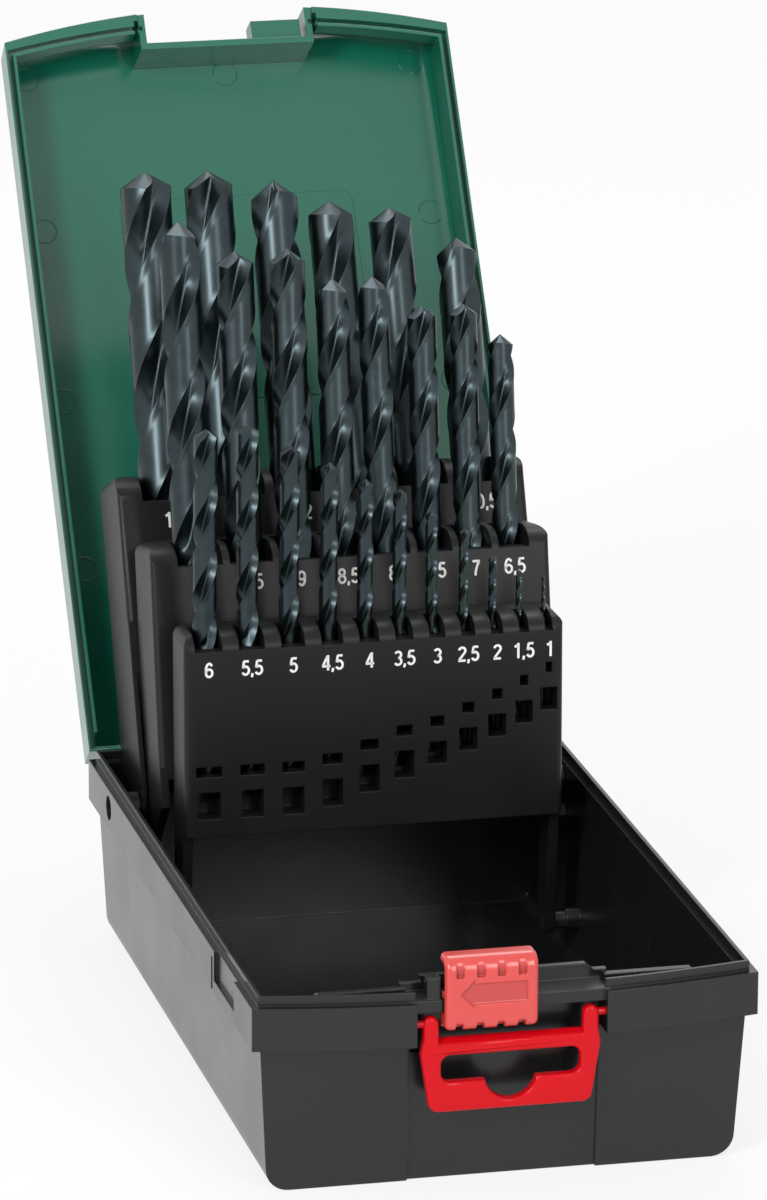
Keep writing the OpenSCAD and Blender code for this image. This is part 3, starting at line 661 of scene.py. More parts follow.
@dataclass
class TwistDrillTree:
    """A node tree that makes one twist drill, standing on its shank at the origin."""

    around: int = 56
    rows: int = 132
    cap_rows: int = 5
    shank_share: float = 0.03
    margin_share: float = 0.05
    land_share: float = 0.57
    relief: float = 0.03
    heel_drop: float = 0.24
    flute_depth: float = 0.66
    run_out: float = 2.2
    point_angle: float = 118.0
    margin_step: float = 60.0
    flute_skew: float = 1.15
    flute_fullness: float = 0.72
    seam: float = 0.001 * MM
    sharp_angle: float = 38.0
    tree: ShapeTree = field(init=False)

    def __post_init__(self) -> None:
        """Builds the tree."""
        self.tree = ShapeTree("twist_drill", "Diameter", "Length", "Flute Length", "Lead")
        nodes = self.tree.nodes
        sizes = {"Size X": 1.0, "Size Y": 1.0, "Vertices X": self.around + 1, "Vertices Y": self.rows}
        grid = nodes.add("GeometryNodeMeshGrid", {}, sizes).outputs["Mesh"]
        point = self.surface(nodes, self.tree.given)
        moved = nodes.add("GeometryNodeSetPosition", {}, {"Geometry": grid, "Position": point}).outputs[0]
        closing = {"Geometry": moved, "Distance": self.seam}
        self.tree.close(nodes.add("GeometryNodeMergeByDistance", {}, closing).outputs[0])

    def surface(self, nodes: Nodes, given: bpy.types.NodeOutputs) -> bpy.types.NodeSocket:
        """Bends a flat grid into the drill's surface.

        Args:
            nodes: the tree.
            given: its inputs.

        Returns:
            Each point's place.
        """
        radius = Value(nodes, given["Diameter"]) * 0.5
        length = Value(nodes, given["Length"])
        shank = length - Value(nodes, given["Flute Length"])
        lead = Value(nodes, given["Lead"])
        place = nodes.add("GeometryNodeInputPosition").outputs[0]
        where = nodes.add("ShaderNodeSeparateXYZ", {}, {"Vector": place}).outputs
        turn = (Value(nodes, where["X"]) + 0.5) * math.tau
        row = (Value(nodes, where["Y"]) + 0.5) * float(self.rows - 1)
        side_rows = float(self.rows - 2 - self.cap_rows)
        foot = row.clamp()
        side = ((row - 1.0) / side_rows).clamp()
        cap = ((row - 1.0 - side_rows) / float(self.cap_rows)).clamp()
        slope = 1.0 / math.tan(math.radians(self.point_angle / 2))
        up_shank = (side / self.shank_share).clamp() * shank
        up_flute = ((side - self.shank_share) / (1.0 - self.shank_share)).clamp()
        run_out = ((up_flute * (length - shank)) / (radius * self.run_out)).eased()
        reach = 1.0 - (1.0 - self.section(turn)) * run_out
        behind_lip = ((turn / math.pi).fraction() / self.land_share).clamp()
        point = reach * radius * slope + behind_lip * reach * radius * self.heel_drop
        height = up_shank + up_flute * (length - shank - point)
        angle = turn + height * math.tau / lead
        spread = reach * radius * foot * (1.0 - cap)
        parts = {"X": spread * angle.cosine(), "Y": spread * angle.sine(), "Z": height + point * cap}
        return nodes.add("ShaderNodeCombineXYZ", {}, parts).outputs[0]

    def section(self, turn: Value) -> Value:
        """The cross-section: a margin at full radius, a relieved land and a deep flute, twice round.

        Args:
            turn: angle round the drill, in radians.

        Returns:
            The section's reach, as a share of the radius.
        """
        share = (turn / math.pi).fraction()
        relieved = ((share - self.margin_share) * self.margin_step).clamp() * self.relief
        across = ((share - self.land_share) / (1.0 - self.land_share)).clamp()
        flute = (across ** self.flute_skew * math.pi).sine().at_least(0.0) ** self.flute_fullness
        in_flute = share.above(self.land_share)
        return 1.0 - relieved * (1.0 - in_flute) - flute * self.flute_depth * in_flute

    def build(
        self, name: str, diameter: float, length: float, fluted: float, lead: float
    ) -> bpy.types.Object:
        """Makes one drill.

        Args:
            name: the piece's name.
            diameter: cutting diameter.
            length: overall length.
            fluted: length of the flutes.
            lead: length of one turn of a flute.

        Returns:
            The drill as a plain mesh, standing at the origin.
        """
        lengths = {"Diameter": diameter, "Length": length, "Flute Length": fluted, "Lead": lead}
        piece = self.tree.run(bpy.data.meshes.new(name), Finish.DRILL, lengths)
        piece.data.shade_smooth()
        piece.data.set_sharp_from_angle(angle=math.radians(self.sharp_angle))
        return piece


@dataclass
class Drills:
    """The set of jobber drills, 1 to 13 mm, each standing in its pocket."""

    frame: CaseFrame
    tree: TwistDrillTree
    helix: float = 29.0
    spin: float = 2.4  # radians for each millimetre of diameter, so that the flutes face all ways
    lengths_mm: dict[float, tuple[float, float]] = field(default_factory=dict)

    def __post_init__(self) -> None:
        """Fills in the standard overall and flute lengths."""
        steps = (
            (1.0, 34, 12), (1.5, 40, 18), (2.0, 49, 24), (2.5, 57, 30), (3.0, 61, 33), (3.5, 70, 39),
            (4.0, 75, 43), (4.5, 80, 47), (5.0, 86, 52), (6.0, 93, 57), (6.5, 101, 63), (7.5, 109, 69),
            (8.5, 117, 75), (9.5, 125, 81), (10.5, 133, 87), (11.5, 142, 94), (13.0, 151, 101),
        )  # each row holds up to and including its diameter
        for diameter in reversed(half_steps(13.0, 1.0)):
            row = next(step for step in steps if diameter <= step[0])
            self.lengths_mm[diameter] = (row[1], row[2])

    def axis(self, diameter: float) -> tuple[Vector, Vector]:
        """Where a drill stands.

        Args:
            diameter: its diameter in millimetres.

        Returns:
            The point that its shank stands on, and its direction.
        """
        label = node_label(diameter)
        direction = Vector(self.frame.joints["lift_" + label]["axis"]).normalized()
        tip = self.frame.farthest("drill_" + label, direction)
        return tip - direction * self.lengths_mm[diameter][0] * MM, direction

    def build(self) -> None:
        """Makes and places every drill."""
        for diameter, (length, fluted) in self.lengths_mm.items():
            label = node_label(diameter)
            lead = math.pi * diameter / math.tan(math.radians(self.helix))
            piece = self.tree.build(
                "twist_drill_" + label, diameter * MM, length * MM, fluted * MM, lead * MM
            )
            foot, direction = self.axis(diameter)
            lean = direction.to_track_quat("Z", "Y").to_matrix().to_4x4()
            spin = Matrix.Rotation(diameter * self.spin, 4, "Z")
            piece.data.transform(Matrix.Translation(foot) @ lean @ spin)
            dress(piece, Finish.DRILL, "drill_" + label, "drill_" + label)


def half_steps(widest: float, narrowest: float) -> tuple[float, ...]:
    """Returns the diameters between two, widest first, in steps of half a millimetre."""
    return tuple(n / 2 for n in range(int(widest * 2), int(narrowest * 2) - 1, -1))


def node_label(diameter: float) -> str:
    """Returns a diameter as node names write it, such as 12_5."""
    return f"{int(diameter)}_{int(round(diameter % 1 * 10))}"


# ---------------------------------------------------------------- printed digits

# Shares of a digit's height, apart from the last two.
DIGIT_WIDTH = 0.56
STROKE_WIDTH = 0.155
DIGIT_ADVANCE = 0.63
COMMA_ADVANCE = 0.22
SHARPEST_MITRE = 0.5
ARC_STEP = 12.0  # degrees


def bow(x: float, y: float, wide: float, high: float, start: float, end: float) -> list[tuple[float, float]]:
    """Returns points on an ellipse.

    Args:
        x: its centre.
        y: its centre.
        wide: its radius along x.
        high: its radius along y.
        start: first angle, in degrees.
        end: last angle, in degrees.
    """
    count = max(4, int(abs(end - start) / ARC_STEP))
    angles = [math.radians(start + (end - start) * step / count) for step in range(count + 1)]
    return [(x + wide * math.cos(a), y + high * math.sin(a)) for a in angles]


def upside_down(stroke: list[tuple[float, float]]) -> list[tuple[float, float]]:
    """Returns a stroke turned by half a turn within the digit's box."""
    return [(DIGIT_WIDTH - x, 1.0 - y) for x, y in stroke]


SIX = [bow(0.28, 0.31, 0.205, 0.245, 0, 360), bow(0.29, 0.5, 0.215, 0.43, 38, 180) + [(0.075, 0.31)]]
DIGIT_STROKES = {
    "0": [bow(0.28, 0.5, 0.205, 0.43, 0, 360)],
    "1": [[(0.1, 0.76), (0.22, 0.81), (0.3, 0.9)], [(0.34, 1.0), (0.34, 0.0)]],
    "2": [
        bow(0.28, 0.72, 0.205, 0.21, 170, -30) + [(0.1, 0.14), (0.09, 0.067)],
        [(0.02, 0.067), (0.5, 0.067)],
    ],
    "3": [bow(0.27, 0.725, 0.19, 0.205, 155, -90), bow(0.27, 0.295, 0.21, 0.228, 90, -155)],
    "4": [[(0.36, 0.94), (0.06, 0.32)], [(0.0, 0.28), (0.54, 0.28)], [(0.385, 1.0), (0.385, 0.0)]],
    "5": [
        [(0.48, 0.933), (0.14, 0.933)],
        [(0.165, 0.94), (0.105, 0.5)],
        bow(0.27, 0.33, 0.21, 0.263, 140, -155),
    ],
    "6": SIX,
    "7": [[(0.04, 0.933), (0.52, 0.933)], [(0.48, 0.93), (0.33, 0.62), (0.24, 0.3), (0.2, 0.0)]],
    "8": [bow(0.28, 0.735, 0.175, 0.198, 0, 360), bow(0.28, 0.29, 0.205, 0.223, 0, 360)],
    "9": [upside_down(stroke) for stroke in SIX],
    ",": [[(0.07, 0.14), (0.07, 0.0), (0.03, -0.12)]],
}


# ---------------------------------------------------------------- banks


@dataclass
class DrillBank:
    """One fold-out bank: its moulded block and the printed sizes along its front edge."""

    frame: CaseFrame
    place: str
    diameters: tuple[float, ...]
    number_drop: float
    number_height: float = 3.85 * MM
    ink: float = 0.05 * MM

    @property
    def body(self) -> str:
        """Name of the bank's body."""
        return "bank_" + self.place

    @property
    def node(self) -> str:
        """Name of the bank's node."""
        return self.place + "_bank"

    @property
    def tilt(self) -> float:
        """How far the bank leans back from upright, in radians."""
        return math.radians(-self.frame.joints[self.place + "_bank_hinge"]["range_deg"][0] - 90.0)

    def build(self, drills: Drills) -> None:
        """Makes the block and its numbers.

        Args:
            drills: the set that the bank holds.
        """
        block = shaded(self.frame.merged(self.node), self.place + "_block")
        dress(block, Finish.BANK, self.body, self.node)
        self.print_numbers(drills)

    def print_numbers(self, drills: Drills) -> None:
        """Prints each pocket's drill size under its notch.

        Args:
            drills: the set that the bank holds.
        """
        up = Vector((0.0, math.sin(self.tilt), math.cos(self.tilt)))
        out = Vector((0.0, -math.cos(self.tilt), math.sin(self.tilt)))
        face = self.frame.farthest(self.node, out).dot(out) + self.ink
        top = self.frame.farthest(self.node, up).dot(up) - self.number_drop
        for diameter in self.diameters:
            foot, direction = drills.axis(diameter)
            depth = self.frame.joints["lift_" + node_label(diameter)]["range_m"][1]
            across = (foot + direction * depth / 2).x
            text = f"{diameter:g}".replace(".", ",")
            piece = self.number(text, "number_" + node_label(diameter))
            spot = up * top + out * face + Vector((across, 0.0, 0.0))
            turn = Matrix((Vector((1, 0, 0)), up, out)).transposed().to_4x4()
            piece.data.transform(Matrix.Translation(spot) @ turn)
            dress(piece, Finish.INK, self.body)

    def number(self, text: str, name: str) -> bpy.types.Object:
        """Makes one printed number, centred on the origin and facing up.

        Args:
            text: what it says.
            name: the piece's name.

        Returns:
            The number as a plain mesh.
        """
        mesh = bmesh.new()
        start = 0.0
        for sign in text:
            for stroke in DIGIT_STROKES[sign]:
                self.ribbon(mesh, [(start + x, y) for x, y in stroke])
            start += COMMA_ADVANCE if sign == "," else DIGIT_ADVANCE
        data = bpy.data.meshes.new(name)
        mesh.to_mesh(data)
        mesh.free()
        right = max(v.co.x for v in data.vertices)
        left = min(v.co.x for v in data.vertices)
        middle = Matrix.Translation((-(left + right) / 2, -0.5, 0.0))
        data.transform(Matrix.Scale(self.number_height, 4) @ middle)
        return object_from(data, name)

    @staticmethod
    def ribbon(mesh: bmesh.types.BMesh, line: list[tuple[float, float]]) -> None:
        """Adds one stroke of a digit as a flat ribbon.

        Args:
            mesh: the digit's mesh.
            line: the stroke's middle line, for a digit of height 1.
        """
        points = [Vector((x, y, 0.0)) for x, y in line]
        pairs = []
        for index, point in enumerate(points):
            before = (point - points[max(index - 1, 0)]).normalized()
            after = (points[min(index + 1, len(points) - 1)] - point).normalized()
            along = (before + after).normalized()
            widen = 1.0 / max(SHARPEST_MITRE, along.dot(after if after.length else before))
            side = Vector((-along.y, along.x, 0.0)) * (STROKE_WIDTH / 2 * widen)
            pairs.append((mesh.verts.new(point + side), mesh.verts.new(point - side)))
        for (left, right), (next_left, next_right) in zip(pairs, pairs[1:]):
            mesh.faces.new((left, right, next_right, next_left))


# ---------------------------------------------------------------- case and lid


@dataclass
class CaseBase:
    """The base tray with its rim, latch bay and pivots."""

    frame: CaseFrame

    def build(self) -> None:
        """Makes the tray and dresses its pins."""
        shell = shaded(self.frame.merged("base_shell"), "base_tray")
        dress(shell, Finish.BASE, "case_base", "base_shell")
        for node in ("front_pivot_pins", "middle_pivot_pins", "rear_pivot_pins"):
            pins = shaded(self.frame.merged(node), node + "_turned")
            dress(pins, Finish.PIN, "case_base", node)
        hinge = shaded(self.frame.merged("hinge_pins"), "hinge_wire_pins")
        dress(hinge, Finish.PIN_STEEL, "case_base", "hinge_pins")


@dataclass
class EjectorMarkTree:
    """A node tree that lays a shallow ring on each point of a mesh, as ejector pins leave them."""

    radius: float = 3.2 * MM
    thickness: float = 0.16 * MM
    around: int = 44
    across: int = 8
    tree: ShapeTree = field(init=False)

    def __post_init__(self) -> None:
        """Builds the tree."""
        self.tree = ShapeTree("ejector_marks", "Radius", "Thickness")
        nodes = self.tree.nodes
        circles = []
        for count, size in ((self.around, "Radius"), (self.across, "Thickness")):
            sizes = {"Resolution": count, "Radius": self.tree.given[size]}
            circles.append(nodes.add("GeometryNodeCurvePrimitiveCircle", {}, sizes).outputs[0])
        sweeping = dict(zip(("Curve", "Profile Curve"), circles))
        ring = nodes.add("GeometryNodeCurveToMesh", {}, sweeping).outputs[0]
        laying = {"Points": self.tree.given["Geometry"], "Instance": ring}
        self.tree.close(nodes.add("GeometryNodeInstanceOnPoints", {}, laying).outputs[0])

    def build(self, name: str, points: Iterable[tuple[float, float]]) -> bpy.types.Object:
        """Makes the marks.

        Args:
            name: the piece's name.
            points: where the marks lie, on a plane through the origin.

        Returns:
            The marks as a plain mesh.
        """
        mesh = bpy.data.meshes.new(name)
        mesh.from_pydata([(x, y, 0.0) for x, y in points], [], [])
        return self.tree.run(mesh, Finish.LID, {"Radius": self.radius, "Thickness": self.thickness})


@dataclass
class Lid:
    """The green lid, with the raised panel and ejector marks on its inner face."""

    frame: CaseFrame
    panel_half_width: float = 31.0 * MM
    panel_reach: tuple[float, float] = (96.0 * MM, 152.0 * MM)
    panel_corner: float = 3.0 * MM
    panel_rise: float = 0.3 * MM
    panel_overlap: float = 0.05 * MM
    panel_rounding: float = 0.15 * MM
    corner_steps: int = 8
    mark_rows: tuple[float, ...] = (187.0 * MM, 144.7 * MM, 98.0 * MM, 52.4 * MM)
    mark_x: float = 51.5 * MM
    middle_mark: tuple[float, float] = (1.3 * MM, 186.0 * MM)
    skin: float = 2.0 * MM
    rim_depth: float = 10.0 * MM

    def opening(self) -> Matrix:
        """Returns the motion that takes the closed lid to the open one."""
        joint = self.frame.joints["lid_hinge"]
        pivot = Vector(joint["pos_m"])
        turn = Matrix.Rotation(math.radians(-joint["range_deg"][0]), 4, Vector(joint["axis"]))
        return Matrix.Translation(pivot) @ turn @ Matrix.Translation(-pivot)

    def inner_face(self) -> tuple[float, float]:
        """Returns the closed lid's rear edge in Y and its inner face in Z."""
        closing = self.opening().inverted()
        points = [closing @ v.co for v in self.frame.data["nodes"]["lid_shell"].data.vertices]
        top = max(p.z for p in points)
        rear = max(p.y for p in points if p.z > top - self.rim_depth)
        return rear, top - self.skin

    def build(self) -> None:
        """Makes the lid, its panel and its marks."""
        shell = shaded(self.frame.merged("lid_shell"), "lid_cover")
        dress(shell, Finish.LID, "lid", "lid_shell")
        rear, inner = self.inner_face()
        opening = self.opening()
        panel = self.panel(rear, inner)
        panel.data.transform(opening)
        dress(panel, Finish.LID, "lid")
        spots = [(side * self.mark_x, rear - row) for row in self.mark_rows for side in (-1, 1)]
        spots.append((self.middle_mark[0], rear - self.middle_mark[1]))
        marks = EjectorMarkTree().build("lid_ejector_marks", spots)
        marks.data.transform(opening @ Matrix.Translation((0.0, 0.0, inner)))
        dress(marks, Finish.LID, "lid")

    def panel(self, rear: float, inner: float) -> bpy.types.Object:
        """Makes the thin raised panel with rounded corners.

        Args:
            rear: the closed lid's rear edge in Y.
            inner: the closed lid's inner face in Z.

        Returns:
            The panel, drawn for the closed lid.
        """
        low, high = (rear - reach for reach in reversed(self.panel_reach))
        corner = self.panel_corner
        outline = []
        centres = (
            (self.panel_half_width - corner, high - corner, 0),
            (-self.panel_half_width + corner, high - corner, 90),
            (-self.panel_half_width + corner, low + corner, 180),
            (self.panel_half_width - corner, low + corner, 270),
        )
        for x, y, start in centres:
            for step in range(self.corner_steps + 1):
                angle = math.radians(start + step * 90 / self.corner_steps)
                outline.append((x + corner * math.cos(angle), y + corner * math.sin(angle)))
        mesh = bmesh.new()
        ring = [mesh.verts.new((x, y, inner - self.panel_rise)) for x, y in outline]
        face = mesh.faces.new(ring)
        face.normal_flip()
        sides = bmesh.ops.extrude_face_region(mesh, geom=[face])
        lifted = [v for v in sides["geom"] if isinstance(v, bmesh.types.BMVert)]
        bmesh.ops.translate(mesh, verts=lifted, vec=(0.0, 0.0, self.panel_rise + self.panel_overlap))
        bmesh.ops.recalc_face_normals(mesh, faces=mesh.faces)
        return rounded(mesh, "lid_panel", self.panel_rounding)


@dataclass
class LatchSlider:
    """The red slider: a channel over the base's rail, with grips and an arrow pressed into its front."""

    frame: CaseFrame
    wall: float = 1.7 * MM
    top_radius: float = 3.6 * MM
    foot_radius: float = 2.0 * MM
    side_radius: float = 1.3 * MM
    step: float = 0.16 * MM
    grips: int = 4
    grip_step: float = 4.9 * MM
    grip_width: float = 2.1 * MM
    grip_depth: float = 0.95 * MM
    grip_shift: float = -0.25 * MM
    upper_grip: tuple[float, float] = (1.0 * MM, 4.9 * MM)
    lower_grip: float = 2.5 * MM
    arrow_depth: float = 0.5 * MM
    arrow_edge: float = 0.28 * MM
    arrow_tip: float = -7.6 * MM
    arrow_neck: float = -4.0 * MM
    arrow_end: float = 8.4 * MM
    arrow_head: float = 3.8 * MM
    arrow_shaft: float = 2.6 * MM
    arrow_overlap: float = 1.0 * MM
    side_softness: float = 0.4 * MM
    end_softness: float = 0.35 * MM
    hollow: float = 0.7
    lip_thickness: float = 1.3 * MM
    lip_height: float = 5.6 * MM
    web_gaps: tuple[float, float] = (1.2 * MM, 1.0 * MM)
    web_heights: tuple[float, float] = (7.4 * MM, 8.5 * MM)
    sharp_angle: float = 50.0
    low: Vector = field(init=False)
    high: Vector = field(init=False)

    def __post_init__(self) -> None:
        """Reads the box that the slider fills."""
        self.low, self.high = self.frame.limits("latch_slider")

    def build(self) -> None:
        """Makes the slider."""
        low, high = self.low, self.high
        path = self.profile()
        middle = Vector(((low.x + high.x) / 2, 0.0, (low.z + high.z) / 2))
        columns = int((high.x - low.x) / self.step)
        mesh = bmesh.new()
        # Painted shade: each point's depth share is stored for the material, which darkens the grips and
        # arrow by it.
        painted_recess_shade = mesh.verts.layers.float.new(PAINTED_SHADE_ATTRIBUTE)
        outer = []
        for column in range(columns + 1):
            x = low.x + (high.x - low.x) * column / columns
            rim = self.rim_drop(min(x - low.x, high.x - x))
            row = []
            for place, inward in path:
                sunk = self.sunk(x - middle.x, place)
                vertex = mesh.verts.new(Vector((x, 0.0, 0.0)) + place + inward * max(rim, sunk))
                vertex[painted_recess_shade] = sunk / self.grip_depth
                row.append(vertex)
            outer.append(row)
        inner = [
            [mesh.verts.new(Vector((x, 0.0, 0.0)) + place + inward * self.wall) for place, inward in path]
            for x in (low.x, high.x)
        ]
        self.join(mesh, outer)
        self.join(mesh, inner)
        self.join(mesh, [outer[0], inner[0]])
        self.join(mesh, [outer[-1], inner[-1]])
        for end in (0, -1):
            mesh.faces.new([row[end] for row in outer] + [inner[1][end], inner[0][end]])
        lip_front, lip_top = high.y - self.lip_thickness, low.z + self.lip_height
        self.block(mesh, (low.x, lip_front, low.z), (high.x, high.y, lip_top))
        (front_gap, back_gap), (web_foot, web_top) = self.web_gaps, self.web_heights
        self.block(
            mesh, (low.x, low.y + front_gap, low.z + web_foot), (high.x, high.y - back_gap, low.z + web_top)
        )
        bmesh.ops.recalc_face_normals(mesh, faces=mesh.faces)
        cap = shaded(mesh, "latch_slider_cap", self.sharp_angle)
        dress(cap, Finish.LATCH, "latch", "latch_slider")

    def profile(self) -> list[tuple[Vector, Vector]]:
        """Walks round the channel's outside, from its lower hook over the front to its upper hook.

        Returns:
            Points in the YZ plane, each with its inward direction.
        """
        low, high = self.low, self.high
        front, back = low.y, high.y
        foot, top = self.foot_radius, self.top_radius
        pieces = [
            ((back, low.z), (front + foot, low.z)),
            ((front + foot, low.z + foot), foot, 270.0, 180.0),
            ((front, low.z + foot), (front, high.z - top)),
            ((front + top, high.z - top), top, 180.0, 90.0),
            ((front + top, high.z), (back, high.z)),
        ]
        path = []
        for piece in pieces:
            if len(piece) == 2:
                (y0, z0), (y1, z1) = piece
                length = math.hypot(y1 - y0, z1 - z0)
                inward = Vector((0.0, (z1 - z0) / length, -(y1 - y0) / length))
                count = max(2, int(length / self.step))
                for step in range(count):
                    share = step / count
                    path.append((Vector((0.0, y0 + (y1 - y0) * share, z0 + (z1 - z0) * share)), inward))
            else:
                (y, z), radius, start, end = piece
                count = int(abs(math.radians(end - start)) * radius / self.step)
                for step in range(count):
                    angle = math.radians(start + (end - start) * step / count)
                    out = Vector((0.0, math.cos(angle), math.sin(angle)))
                    path.append((Vector((0.0, y, z)) + out * radius, -out))
        path.append((Vector((0.0, back, high.z)), Vector((0.0, 0.0, -1.0))))
        return path

    def rim_drop(self, from_side: float) -> float:
        """Returns how far the rounded side edge lies below the face.

        Args:
            from_side: distance from the nearer side.
        """
        across = max(0.0, self.side_radius - from_side)
        return self.side_radius - math.sqrt(self.side_radius ** 2 - across ** 2)

    def sunk(self, x: float, place: Vector) -> float:
        """Returns how deep the grips and the arrow are pressed in at a point.

        Args:
            x: distance to the right of the middle.
            place: the point on the profile.
        """
        low, high = self.low, self.high
        if place.y > low.y + self.top_radius:
            return 0.0
        nearest = min(
            abs(x - self.grip_shift - (n - (self.grips - 1) / 2) * self.grip_step) for n in range(self.grips)
        )
        across = held((self.grip_width / 2 - nearest) / self.side_softness)
        down = high.z - place.z
        first, last = self.upper_grip
        scoop = held((down - first) / (last - first)) ** self.hollow * held((last - down) / self.end_softness)
        up = place.z - low.z
        notch = held((self.lower_grip - up) / self.lower_grip) ** self.hollow
        arrow = held(self.arrow_inside(x, place.z - (low.z + high.z) / 2) / self.arrow_edge)
        return max(self.grip_depth * across * max(scoop, notch), self.arrow_depth * arrow)

    def arrow_inside(self, x: float, z: float) -> float:
        """Returns how far a point lies inside the arrow's outline, below 0 outside it."""
        reach = self.arrow_neck - self.arrow_tip
        slant = math.hypot(reach, self.arrow_head)
        head = min(((x - self.arrow_tip) * self.arrow_head - abs(z) * reach) / slant, self.arrow_neck - x)
        shaft = min(x - self.arrow_neck + self.arrow_overlap, self.arrow_end - x, self.arrow_shaft - abs(z))
        return max(head, shaft)

    @staticmethod
    def join(mesh: bmesh.types.BMesh, rows: list[list[bmesh.types.BMVert]]) -> None:
        """Fills the squares between neighbouring rows of points."""
        for row, following in zip(rows, rows[1:]):
            for index in range(len(row) - 1):
                mesh.faces.new((row[index], row[index + 1], following[index + 1], following[index]))

    @staticmethod
    def block(
        mesh: bmesh.types.BMesh, low: tuple[float, float, float], high: tuple[float, float, float]
    ) -> None:
        """Adds a plain block between two corners."""
        made = bmesh.ops.create_cube(mesh, size=1.0)["verts"]
        for vertex in made:
            vertex.co = [low[n] if vertex.co[n] < 0 else high[n] for n in range(3)]


def held(share: float) -> float:
    """Returns a number held between 0 and 1 and eased in and out."""
    inside = min(1.0, max(0.0, share))
    return inside * inside * (3.0 - 2.0 * inside)


@dataclass
class Hanger:
    """The red hanger: a plate with two arms, a slot and a hook hole, and all its edges rounded."""

    frame: CaseFrame
    edge: float = 0.85 * MM
    arm_width: float = 3.7 * MM
    arm_inset: float = 0.5 * MM
    shoulder_in: float = 1.8 * MM
    shoulder_drop: float = 7.3 * MM
    bar_drop: float = 3.5 * MM
    bar_slope: float = 1.7 * MM
    corner: float = 2.5 * MM
    slot: tuple[float, float] = (33.0 * MM, 6.4 * MM)
    slot_drop: float = 7.8 * MM
    slot_corner: float = 2.2 * MM
    hook_radius: float = 6.2 * MM
    hook_rise: float = 1.2 * MM
    slope_margin: float = 1.1
    weld: float = 0.004 * MM
    sharp_angle: float = 60.0
    low: Vector = field(init=False)
    high: Vector = field(init=False)
    pivot: float = field(init=False)

    def __post_init__(self) -> None:
        """Reads the box that the hanger fills, and the height of its pins."""
        self.low, self.high = self.frame.limits("hanger")
        self.pivot = self.high.z - self.arm_width / 2

    def build(self) -> None:
        """Makes the hanger and its pins."""
        low, high = self.low, self.high
        curve = bpy.data.curves.new("hanger_outline", "CURVE")
        curve.dimensions = "2D"
        curve.fill_mode = "BOTH"
        curve.extrude = (high.y - low.y) / 2 - self.edge
        curve.bevel_depth = self.edge
        curve.bevel_resolution = 4
        curve.offset = -self.edge
        for line in (self.outline(), self.hole()):
            spline = curve.splines.new("POLY")
            spline.points.add(len(line) - 1)
            for point, (x, z) in zip(spline.points, line):
                point.co = (x, z, 0.0, 1.0)
            spline.use_cyclic_u = True
        holder = object_from(curve, "hanger_outline")
        graph = bpy.context.evaluated_depsgraph_get()
        plate = bpy.data.meshes.new_from_object(holder.evaluated_get(graph))
        bpy.data.objects.remove(holder)
        upright = Matrix.Rotation(math.radians(90.0), 4, "X")
        plate.transform(Matrix.Translation((0.0, (low.y + high.y) / 2, 0.0)) @ upright)
        mesh = bmesh.new()
        mesh.from_mesh(plate)
        bmesh.ops.remove_doubles(mesh, verts=mesh.verts, dist=self.weld)
        self.slope_bar(mesh)
        bmesh.ops.recalc_face_normals(mesh, faces=mesh.faces)
        loop = shaded(mesh, "hanger_frame", self.sharp_angle)
        dress(loop, Finish.HANGER, "hanger_loop", "hanger")
        pins = shaded(self.frame.merged("hanger_pins"), "hanger_peg_pins")
        dress(pins, Finish.HANGER, "case_base", "hanger_pins")

    def outline(self) -> list[tuple[float, float]]:
        """Returns the plate's outline, from its lower left corner round to its left shoulder."""
        half = self.high.x
        pivot = self.pivot
        arm = self.arm_width / 2
        arm_x = half - self.arm_inset - arm
        inner = half - self.shoulder_in - self.corner
        foot = self.low.z + self.corner
        bar = pivot - self.bar_drop
        shoulder = pivot - self.shoulder_drop
        return (
            bow(-inner, foot, self.corner, self.corner, 180, 270)
            + bow(inner, foot, self.corner, self.corner, 270, 360)
            + [(half, shoulder), (arm_x + arm, bar)]
            + bow(arm_x, pivot, arm, arm, 0, 180)
            + [(arm_x - arm, bar), (arm - arm_x, bar)]
            + bow(-arm_x, pivot, arm, arm, 0, 180)
            + [(-arm_x - arm, bar), (-half, shoulder)]
        )

    def hole(self) -> list[tuple[float, float]]:
        """Returns the slot's outline, whose round hook hole opens downwards."""
        top = self.pivot - self.slot_drop
        floor = top - self.slot[1]
        end = self.slot[0] / 2 - self.slot_corner
        r = self.slot_corner
        lean = math.degrees(math.asin(self.hook_rise / self.hook_radius))
        hook = bow(0.0, floor + self.hook_rise, self.hook_radius, self.hook_radius, 180 + lean, 360 - lean)
        return (
            bow(end, floor + r, r, r, -90, 0)
            + bow(end, top - r, r, r, 0, 90)
            + bow(-end, top - r, r, r, 90, 180)
            + bow(-end, floor + r, r, r, 180, 270)
            + hook
        )

    def slope_bar(self, mesh: bmesh.types.BMesh) -> None:
        """Slopes the bar's upper face down towards the front.

        Args:
            mesh: the plate.
        """
        bar = self.pivot - self.bar_drop
        margin = self.edge * self.slope_margin
        inner = self.high.x - self.arm_inset - self.arm_width + margin
        front, back = self.low.y, self.high.y
        for vertex in mesh.verts:
            if abs(vertex.co.x) < inner and abs(vertex.co.z - bar) < margin:
                vertex.co.z -= self.bar_slope * (back - vertex.co.y) / (back - front)


# ---------------------------------------------------------------- studio


@dataclass
class Softbox:
    """One rectangular studio light."""

    name: str
    place: tuple[float, float, float]
    size: tuple[float, float]
    watts: float
    aim: tuple[float, float, float] = (0.0, 0.0, 0.08)

    def build(self) -> None:
        """Hangs the light."""
        lamp = bpy.data.lights.new(self.name, "AREA")
        lamp.shape = "RECTANGLE"
        lamp.size, lamp.size_y = self.size
        lamp.energy = self.watts
        holder = object_from(lamp, self.name)
        holder.location = self.place
        towards = Vector(self.aim) - Vector(self.place)
        holder.rotation_euler = towards.to_track_quat("-Z", "Y").to_euler()


